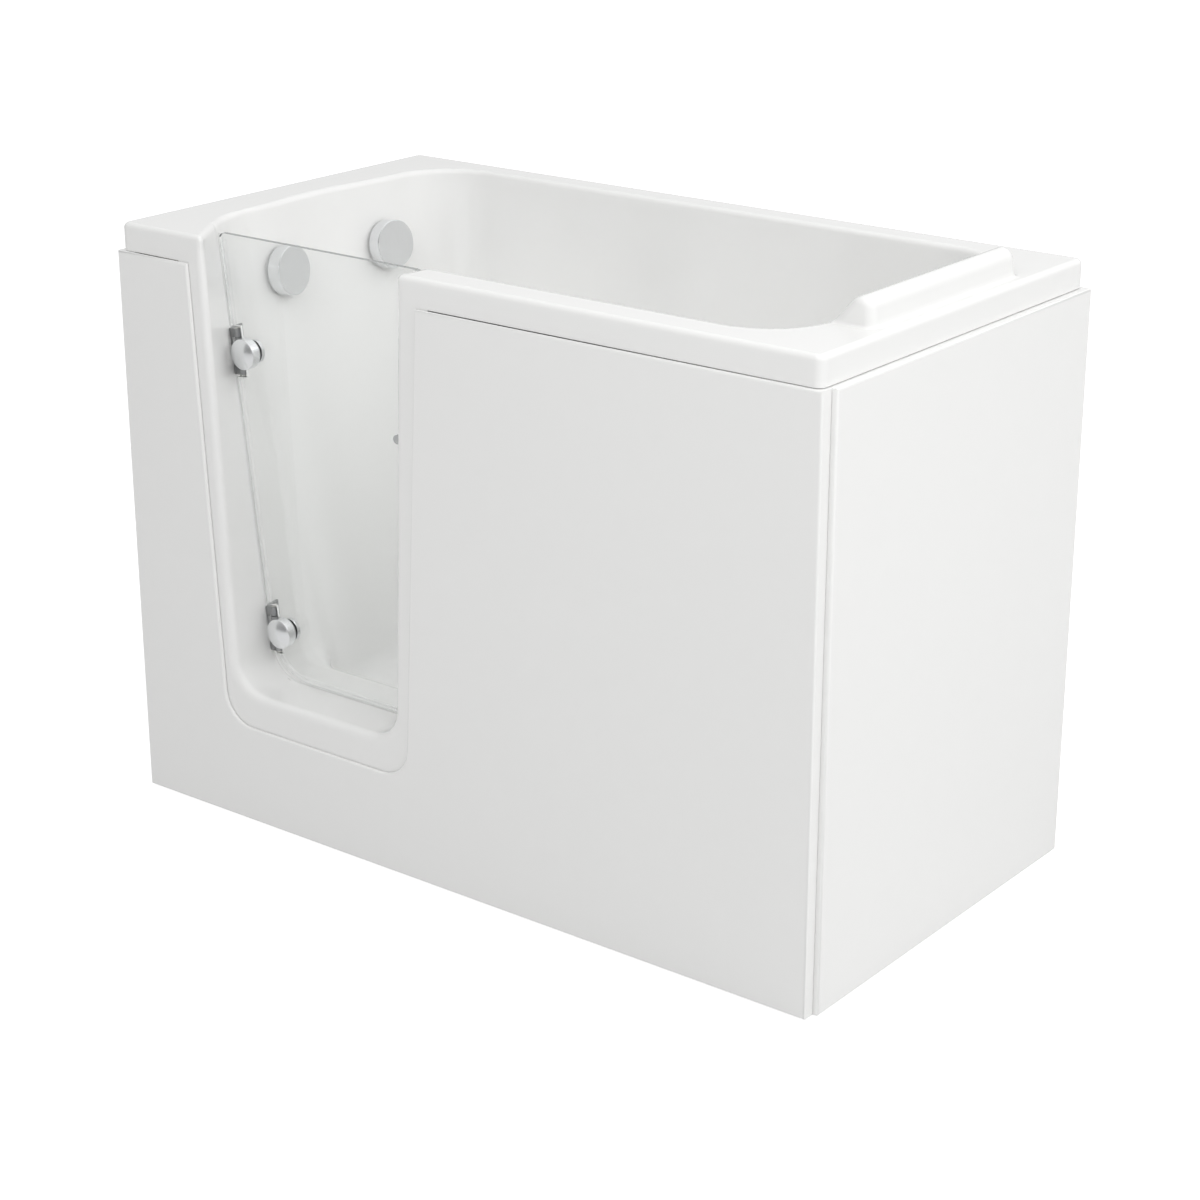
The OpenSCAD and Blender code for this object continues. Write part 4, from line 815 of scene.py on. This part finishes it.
def keep_hole(p):
    """Positive inside the upright slot of the latch's keep in the right reveal."""
    middle_y, middle_z, half_width, half_height = 94.5, 604.1, 6.6, 26.4
    jamb_x, reach = 530, 30
    slot = np.maximum(np.abs(p[:, 1] - middle_y) - half_width,
                      np.abs(p[:, 2] - middle_z) - half_height)
    return -slot - (np.abs(p[:, 0] - jamb_x) > reach) * FAR


def skirt_edge(p):
    """Positive on the block's outer sides below the skirt's foot, outside the surround."""
    side = box_distance(p[:, 0], p[:, 1], *BLOCK) > -1.5
    below = SKIRT_FOOT - p[:, 2]
    outside = surround_distance(p[:, 0], p[:, 2])
    front = p[:, 1] < FACE + 4
    return np.where(side, np.where(front, np.minimum(below, outside), below), -FAR)


def trimmed(points, quads, edge):
    """Removes the quads beyond an edge and moves the new border's points onto it."""
    beyond = edge(points) > 0
    kept = quads[~beyond[quads].any(axis=1)]
    before = np.unique(border_of(quads))
    rim = np.setdiff1d(np.unique(border_of(kept)), before)
    p = points[rim]
    reach = 0.2
    for _ in range(4):
        value = edge(p)
        slope = np.stack([(edge(p + m) - edge(p - m)) / (2 * reach) for m in np.eye(3) * reach],
                         axis=1)
        size = (slope ** 2).sum(axis=1)
        step = np.where((size > 0.2) & (size < 9) & (np.abs(value) < 60), value
                        / np.maximum(size, 0.2), 0)
        p = p - step[:, None] * slope
    points[rim] = p
    return points, kept


def moulding_mesh(wall, step):
    """The moulding: the net over its top surface, trimmed at the skirt's foot, the surround's
    edge and the holes, a second sheet one wall thickness behind it, and strips between them. The
    grid's lines stand closer where the surface bends."""
    xs = graded((-4, 2, 6), (2, 20, 3.6), (20, 74, step), (74, 104, 4.2), (104, 1104, step),
                (1104, 1190, 4.5), (1190, 1208, 3.6), (1208, 1214, 6))
    ys = graded((-4, 2, 6), (2, 20, 3.6), (20, 50, step), (50, 84, 4.5), (84, 105, 4.2),
                (105, 140, step), (140, 162, 3.2), (162, 488, step), (488, 510, 3.2),
                (510, 592, step), (592, 640, 6), (640, 653, 3.6), (653, 658, 5))
    zs = graded((106, 160, 6), (160, 176, 8), (176, 212, 5), (212, 400, step), (400, 486, 7),
                (486, 574, step), (574, 634, 7), (634, 842, step), (842, 868, 6.5),
                (868, 884, 2.7), (884, 924, 4.2))
    points, quads = net_over(moulding_distance, xs, ys, zs)
    points = drawn_to(moulding_distance, points)
    for edge in (skirt_edge, waste_hole, overflow_hole, keep_hole):
        points, quads = trimmed(points, quads, edge)
    points, quads = without_loose(points, quads)
    normals = slope_of(moulding_distance, points, 0.5)
    normals /= np.linalg.norm(normals, axis=1, keepdims=True)
    count = len(points)
    border = border_of(quads)
    strips = np.stack([border[:, 1], border[:, 0], border[:, 0] + count, border[:, 1] + count],
                      axis=1)
    behind = points - normals * wall
    faces = np.concatenate([quads, quads[:, ::-1] + count, strips])
    mesh = mesh_from("tub_skin", to_metres(np.concatenate([points, behind])), faces.tolist())
    corner = np.concatenate([normals, -normals])[faces[:len(quads) * 2]]
    strip = np.empty(len(mesh.polygons) * 3)
    mesh.polygons.foreach_get("normal", strip)
    strip = strip.reshape(-1, 3)[len(quads) * 2:]
    strip = np.repeat(strip[:, None, :], 4, axis=1)
    mesh.normals_split_custom_set(np.concatenate([corner, strip]).reshape(-1, 3).tolist())
    return mesh


def overflow_pad(side):
    """Ring on the back of the end wall that an overflow's gasket presses on: a closed section
    turned about the dial's axis."""
    inner, outer, root, face = 0.0196, 0.0329, -0.0055, -0.011
    section = rounded_profile([(0.0, root, 0), (outer, root, 0), (outer, face, 0.001),
                               (inner, face, 0.0005), (inner, root, 0)])[1:]
    joint = JOINTS[f"{side}_dial_turn"]
    return turned_mesh(f"{side}_pad", np.vstack([section, section[:1]]), joint["pos_m"],
                       joint["axis"], 48)


# ---- operators ------------------------------------------------------------------------------


class BATH_OT_tub(bpy.types.Operator):
    """Builds the moulding with its well, seat, doorway and headrest"""

    bl_idname = "bath.tub"
    bl_label = "Moulding"

    def execute(self, context):
        sizes = context.scene.bath_sizes
        mesh = moulding_mesh(sizes.wall * 1000, sizes.mesh_step * 1000)
        if len(mesh.polygons) < 20000:
            raise RuntimeError("the moulding's net is incomplete")
        add_piece("tub_skin", mesh, "acrylic", "bath", "acrylic", "tub_shell")
        for side in ("front", "back"):
            even_shading(add_piece(f"{side}_overflow_pad", overflow_pad(side), "acrylic", "bath",
                                   "acrylic"))
        return {"FINISHED"}


class BATH_OT_panels(bpy.types.Operator):
    """Builds the front and end panels with their rounded outer edges"""

    bl_idname = "bath.panels"
    bl_label = "Panels"

    def execute(self, context):
        sizes = context.scene.bath_sizes
        for node, axis, side in (("front_panel", 1, -1), ("end_panel", 0, 1)):
            low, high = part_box(node)
            face = low[axis] if side < 0 else high[axis]
            work = merged_copy(node)
            edges = [e for e in work.edges if len(e.link_faces) == 2
                     and all(abs(v.co[axis] - face) < 1e-5 for v in e.verts)
                     and e.calc_face_angle(0) > 0.5]
            bmesh.ops.bevel(work, geom=edges, offset=sizes.panel_edge, segments=4, profile=0.5,
                            affect="EDGES", clamp_overlap=False)
            mesh = mesh_of(work, f"{node}_sheet")
            mesh.set_sharp_from_angle(angle=math.radians(40))
            piece = add_piece(f"{node}_sheet", mesh, "acrylic", "bath", "acrylic", node)
            even_shading(piece)
        return {"FINISHED"}


def seal_fin():
    """Soft fin that closes the gap between the leaf's channel and the reveal. Its line is the
    doorway's outline in the glass's plane, down one side, round both corners and up the other; at
    each of its points stands a thin wedge, thick at the channel and round at its lip."""
    y, r, top_depth = GLASS_MIDDLE, DOORWAY_CORNER, 14.0
    tops = (left_reveal(y), right_reveal(y))
    slopes = (DOOR_END_LEAN, -JAMB_LEAN)
    lean = [math.atan(slope) for slope in slopes]
    sides = [np.array([math.sin(a), -math.cos(a)]) for a in lean]
    cut = [r * math.tan((math.pi / 2 - abs(a)) / 2) for a in lean]
    place = [[np.array([x + slope * d, RIM - d]) for x, slope in zip(tops, slopes)]
             for d in (top_depth, RIM - SILL)]
    start = [place[1][k] - sides[k] * cut[k] for k in (0, 1)]
    middle = [place[1][k] + np.array([cut[k] * (1 - 2 * k), r]) for k in (0, 1)]
    turns = (np.linspace(math.pi + lean[0], 1.5 * math.pi, 14)[1:],
             np.linspace(1.5 * math.pi, 2 * math.pi + lean[1], 14)[:-1])
    arcs = [middle[k] + r * np.stack([np.cos(turns[k]), np.sin(turns[k])], axis=1)
            for k in (0, 1)]
    line = np.concatenate([np.linspace(place[0][0], start[0], 60), arcs[0],
                           np.linspace(arcs[0][-1], arcs[1][0], 40)[1:-1], arcs[1],
                           np.linspace(start[1], place[0][1], 60)])
    tangent = np.gradient(line, axis=0)
    tangent /= np.linalg.norm(tangent, axis=1, keepdims=True)
    inward = np.stack([-tangent[:, 1], tangent[:, 0]], axis=1)
    wedge = np.array([[0.6, -0.25], [0.45, 0.0], [0.6, 0.25], [2.4, 0.6], [4.6, 0.9], [4.6, -0.9],
                      [2.4, -0.6]])
    flat = line[:, None] + inward[:, None] * wedge[None, :, :1]
    cloud = np.stack([flat[..., 0], np.broadcast_to(y + wedge[:, 1], flat.shape[:2]), flat[..., 1]],
                     axis=-1)
    count, ring = flat.shape[:2]
    ends = [list(range(ring))[::-1], [(count - 1) * ring + k for k in range(ring)]]
    return mesh_from("seal_fin", to_metres(cloud.reshape(-1, 3)),
                     grid_faces(count, ring).tolist() + ends)


class BATH_OT_door(bpy.types.Operator):
    """Finishes the glass leaf and its seal"""

    bl_idname = "bath.door"
    bl_label = "Glass door"

    def execute(self, context):
        sizes = context.scene.bath_sizes
        pane = softened("door_pane", "door_glass", sizes.glass_edge, "glass", "door", "glass",
                        steps=2, limit=40)
        pane.data.materials.append(finish("glass_edge"))
        pane.data.materials.append(finish("seal"))
        normals = np.empty(len(pane.data.polygons) * 3)
        pane.data.polygons.foreach_get("normal", normals)
        # The faces are glass, the upper edge is ground, and the seal covers the other edges
        across, upward = np.abs(normals[1::3]), normals[2::3]
        kind = np.where(across > 0.8, 0, np.where(upward > 0.3, 1, 2))
        pane.data.polygons.foreach_set("material_index", kind.astype(np.int32))
        softened("door_seal_strip", "door_seal", 0.0004, "seal", "door", "seal", steps=2, limit=40)
        add_piece("door_seal_fin", seal_fin(), "seal", "door", "seal")
        return {"FINISHED"}


def cap_place(height):
    """Middle of a hinge's cap: from the left reveal in the glass's plane, along the arm, which
    stands square to the leaning pins, and out of the glass."""
    reach, out = 0.040, 0.008
    x = left_reveal(GLASS_MIDDLE) + DOOR_END_LEAN * (RIM - height)
    along = np.array([math.cos(PIN_LEAN), 0.0, math.sin(PIN_LEAN)])
    return (to_metres(np.array([x, GLASS_MIDDLE, height])) + along * reach
            + np.array([0.0, -out, 0.0]))


def cap_profile():
    """Half section of a hinge's cap: the top of a ball, an arc round its shoulder, a straight
    side with a small chamfer, and the bore behind."""
    top, dome, radius, shoulder, chamfer = 0.02, 0.006, 0.0225, 0.0014, 0.0006
    bore, depth = 0.0041, 0.010
    ball = (radius ** 2 + dome ** 2) / (2 * dome)
    angle = math.asin((radius - shoulder) / ball)
    arc = [(ball * math.sin(a), top - ball * (1 - math.cos(a))) for a in np.linspace(0, angle, 14)]
    rim = [(radius - shoulder + shoulder * math.sin(a), arc[-1][1] - shoulder * (1 - math.cos(a)))
           for a in np.linspace(0.12, math.pi / 2, 7)]
    return np.array(arc + rim + [(radius, chamfer), (radius - chamfer, 0.0), (bore, 0.0),
                                 (bore, depth), (0.0, depth)])


class BATH_OT_hinges(bpy.types.Operator):
    """Finishes the hinges: plates, arms, domed caps, pins and clamps"""

    bl_idname = "bath.hinges"
    bl_label = "Hinges"

    def execute(self, context):
        edge = context.scene.bath_sizes.chrome_edge
        for level, height in HINGES.items():
            # Leaves and straps take chrome with painted reflection: darkened to read as dark plates
            softened(f"{level}_hinge_leaf", f"{level}_hinge_plate", edge, "hinge_steel", "bath",
                     "chrome")
            softened(f"{level}_hinge_strap", f"{level}_hinge_arm", edge, "hinge_steel", "door",
                     "chrome", limit=35)
            turned_piece(f"{level}_hinge_dome", cap_profile(), cap_place(height), (0.0, -1.0, 0.0),
                         112, "soft_chrome", "door", f"{level}_hinge_cap")
        softened("hinge_pin_pair", "hinge_pins", 0.0005, "steel", "bath", "steel", limit=40)
        softened("hinge_clamp_discs", "hinge_clamps", 0.0008, "chrome", "door", "chrome", limit=40)
        return {"FINISHED"}


class BATH_OT_latch(bpy.types.Operator):
    """Finishes the latch: handle, cam, spindle and keep"""

    bl_idname = "bath.latch"
    bl_label = "Latch"

    def execute(self, context):
        # The lever takes chrome with painted reflection: darkened to read as a grey handle
        softened("latch_lever", "latch_handle", 0.0022, "hinge_steel", "latch", "chrome",
                 steps=4, limit=40)
        softened("latch_tongue", "latch_cam", 0.0005, "steel", "latch", "steel", limit=40)
        softened("latch_knob", "latch_spindle", 0.0007, "chrome", "latch", "chrome", limit=40)
        softened("latch_keep_box", "latch_keep", 0.0004, "chrome", "bath", "chrome", steps=2,
                 limit=40)
        return {"FINISHED"}


def dial_profile():
    """Half section of an overflow's dial: a hollow cap on a hub and a stem."""
    radius, inside, hub, stem = 0.037, 0.033, 0.009, 0.005
    face, recess, back, end = 0.026, 0.011, 0.005, -0.011
    hub_end = 0.0036
    return rounded_profile([
        (0.0, face, 0), (radius, face, 0.0016), (radius, back, 0.0006), (inside, back, 0.0005),
        (inside, recess, 0.0008), (hub, recess, 0.0006), (hub, hub_end, 0.0004),
        (stem, hub_end, 0.0004), (stem, end, 0.0006), (0.0, end, 0)], 4)


class BATH_OT_overflows(bpy.types.Operator):
    """Builds the two overflow dials with their polished faces"""

    bl_idname = "bath.overflows"
    bl_label = "Overflow dials"

    def execute(self, context):
        for side in ("front", "back"):
            joint = JOINTS[f"{side}_dial_turn"]
            turned_piece(f"{side}_dial_knob", dial_profile(), joint["pos_m"], joint["axis"], 128,
                         "chrome", f"{side}_dial", f"{side}_overflow_dial")
        return {"FINISHED"}


def plug_profile():
    """Half section of a pop-up plug: a low crowned disc with a hollow back on a long stem."""
    radius, crown, inside, stem = 0.026, 0.018, 0.020, 0.004
    edge, hollow, end = 0.0035, 0.003, -0.038
    return rounded_profile([
        (0.0, 0.006, 0), (crown, 0.0058, 0.004), (radius, edge, 0.0016), (radius, 0.0, 0.0005),
        (inside, 0.0, 0.0004), (inside, hollow, 0.0005), (stem, hollow, 0.0005),
        (stem, end, 0.0005), (0.0, end, 0)], 4)


class BATH_OT_wastes(bpy.types.Operator):
    """Builds the two pop-up plugs and finishes their flanges"""

    bl_idname = "bath.wastes"
    bl_label = "Wastes"

    def execute(self, context):
        for side, across in WASTES.items():
            origin = to_metres(np.array([WASTE_X, across, PLUG_SEAT]))
            turned_piece(f"{side}_plug_disc", plug_profile(), origin, (0.0, 0.0, 1.0), 96,
                         "chrome", f"{side}_plug", f"{side}_waste_plug")
        softened("waste_rims", "waste_flanges", 0.0009, "chrome", "bath", "chrome", limit=40)
        return {"FINISHED"}


class BATH_OT_carcass(bpy.types.Operator):
    """Gives the frame's pieces the finish of their slot, before the other steps rework some"""

    bl_idname = "bath.carcass"
    bl_label = "Frame, boards and pipes"

    def execute(self, context):
        slots = {part["node"]: part["material_slot"] for part in frame["record"]["subparts"]}
        for name, node in NODES.items():
            kind = "timber_across" if name == "side_rim_battens" else slots[name]
            node.data.materials.clear()
            node.data.materials.append(finish(kind))
        return {"FINISHED"}


class BATH_OT_stage(bpy.types.Operator):
    """Sets up the pale floor, the soft lamps, the world and the camera"""

    bl_idname = "bath.stage"
    bl_label = "Floor, lamps and camera"

    def execute(self, context):
        floor_stage()
        lamp("right_softbox", place=(3.5, 0.0, 2.3), target=(0.3, 0.0, 0.5), size=(2.6, 2.6),
             power=40.0)
        lamp("back_softbox", place=(2.0, 1.6, 3.2), target=(-0.4, -0.2, 0.5), size=(1.8, 1.8),
             power=12.0)
        lamp("front_softbox", place=(0.9, -2.1, 2.8), target=(-0.4, -0.25, 0.45),
             size=(2.2, 2.0), power=30.0)
        world_light()
        photo_camera()
        context.scene.view_settings.view_transform = "Standard"
        return {"FINISHED"}


def photo_camera():
    """A long lens at the right front corner, that looks down a little."""
    camera = bpy.data.cameras.new("photo_camera")
    camera.lens = 80.2
    camera.sensor_width = 36.0
    camera.clip_end = 60.0
    holder = bpy.data.objects.new("photo_camera", camera)
    holder.location = (2.254, -2.885, 1.707)
    holder.rotation_euler = (math.radians(69.63), 0.0, math.radians(37.79))
    bpy.context.scene.collection.objects.link(holder)
    bpy.context.scene.camera = holder


def lamp(name, place, target, size, power):
    """A soft rectangular lamp that faces a point and that the chrome does not mirror."""
    light = bpy.data.lights.new(name, "AREA")
    light.shape = "RECTANGLE"
    light.size, light.size_y = size
    light.energy = power
    holder = bpy.data.objects.new(name, light)
    holder.location = place
    holder.rotation_euler = (Vector(target) - Vector(place)).to_track_quat("-Z", "Y").to_euler()
    holder.visible_glossy = False
    bpy.context.scene.collection.objects.link(holder)


def floor_stage():
    """A flat round floor: rings of points at growing radii. Its own colour takes the shadow, and
    a share of plain light for what looks at it brings the open floor up to white."""
    sides = 96
    angles = np.linspace(0, 2 * math.pi, sides, endpoint=False)
    radii = np.array([0.02, 1.0, 2.0, 4.0, 8.0, 20.0])
    cloud = np.stack([np.outer(radii, np.cos(angles)), np.outer(radii, np.sin(angles)),
                      np.full((len(radii), sides), -0.0008)], axis=-1).reshape(-1, 3)
    upward = grid_faces(len(radii), sides)[:, [0, 3, 2, 1]]
    mesh = mesh_from("floor", cloud, upward.tolist() + [list(range(sides))])
    f = Finish("pale_floor", (0.56, 0.56, 0.56), 0.9)
    grain = f.noise((14.0, 14.0, 14.0), detail=2.0)
    f.set("Base Color", f.mixed(grain, (0.56, 0.56, 0.56), (0.55, 0.55, 0.55)))
    camera, mirror, through = [f.node("ShaderNodeLightPath", output=kind) for kind in (
        "Is Camera Ray", "Is Glossy Ray", "Is Transmission Ray")]
    seen = camera.combined("MAXIMUM", camera, through)
    seen = seen.combined("MAXIMUM", seen, mirror * 0.04 + 0.28)
    f.set("Emission Color", f.mixed(seen, (0.0, 0.0, 0.0), (0.78, 0.78, 0.78)))
    f.set("Emission Strength", 1.0)
    floor = bpy.data.objects.new("floor", mesh)
    mesh.materials.append(f.material)
    bpy.context.scene.collection.objects.link(floor)


def world_light():
    """White behind the object, a pale light on it that grows with height, and for the gloss a
    stronger one that also grows towards the back, so that the chrome shows greys."""
    world = bpy.data.worlds.new("studio")
    world.use_nodes = True
    tree = world.node_tree
    back = tree.nodes["Background"]
    path = tree.nodes.new("ShaderNodeLightPath")
    camera = Value(tree, path.outputs["Is Camera Ray"])
    clear = Value(tree, path.outputs["Is Transmission Ray"])
    glossy = Value(tree, path.outputs["Is Glossy Ray"])
    place = tree.nodes.new("ShaderNodeTexCoord")
    split = tree.nodes.new("ShaderNodeSeparateXYZ")
    tree.links.new(place.outputs["Generated"], split.inputs[0])
    height = Value(tree, split.outputs["Z"])
    height = height.combined("MAXIMUM", height, 0.0)
    sheen = height * 0.5 + Value(tree, split.outputs["Y"]) * 0.3 + 0.5
    sky = height * 0.48 + 0.27
    seen = camera.combined("MAXIMUM", camera, clear)
    strength = seen + (1 - seen) * (glossy * sheen + (1 - glossy) * sky)
    plug(tree, back.inputs["Color"], (1.0, 1.0, 1.0, 1.0))
    plug(tree, back.inputs["Strength"], strength)
    bpy.context.scene.world = world


class BATH_PT_panel(bpy.types.Panel):
    """Sizes, colours and steps of the bath"""

    bl_idname = "BATH_PT_panel"
    bl_label = "Walk-in bath"
    bl_space_type = "VIEW_3D"
    bl_region_type = "UI"
    bl_category = "Bath"

    def draw(self, context):
        for group in (context.scene.bath_sizes, context.scene.bath_colours):
            box = self.layout.box()
            for key in group.__annotations__:
                box.prop(group, key)
        for operator in OPERATORS:
            self.layout.operator(operator.bl_idname)


OPERATORS = (BATH_OT_carcass, BATH_OT_tub, BATH_OT_panels, BATH_OT_door, BATH_OT_hinges,
             BATH_OT_latch, BATH_OT_overflows, BATH_OT_wastes, BATH_OT_stage)
CLASSES = (BathSizes, BathColours, *OPERATORS, BATH_PT_panel)


def register():
    for cls in CLASSES:
        bpy.utils.register_class(cls)
    bpy.types.Scene.bath_sizes = bpy.props.PointerProperty(type=BathSizes)
    bpy.types.Scene.bath_colours = bpy.props.PointerProperty(type=BathColours)


def unregister():
    del bpy.types.Scene.bath_sizes
    del bpy.types.Scene.bath_colours
    for cls in reversed(CLASSES):
        bpy.utils.unregister_class(cls)


def main():
    register()
    for operator in OPERATORS:
        step = operator.bl_idname.split(".")[1]
        getattr(bpy.ops.bath, step)()


if __name__ == "__main__":
    main()
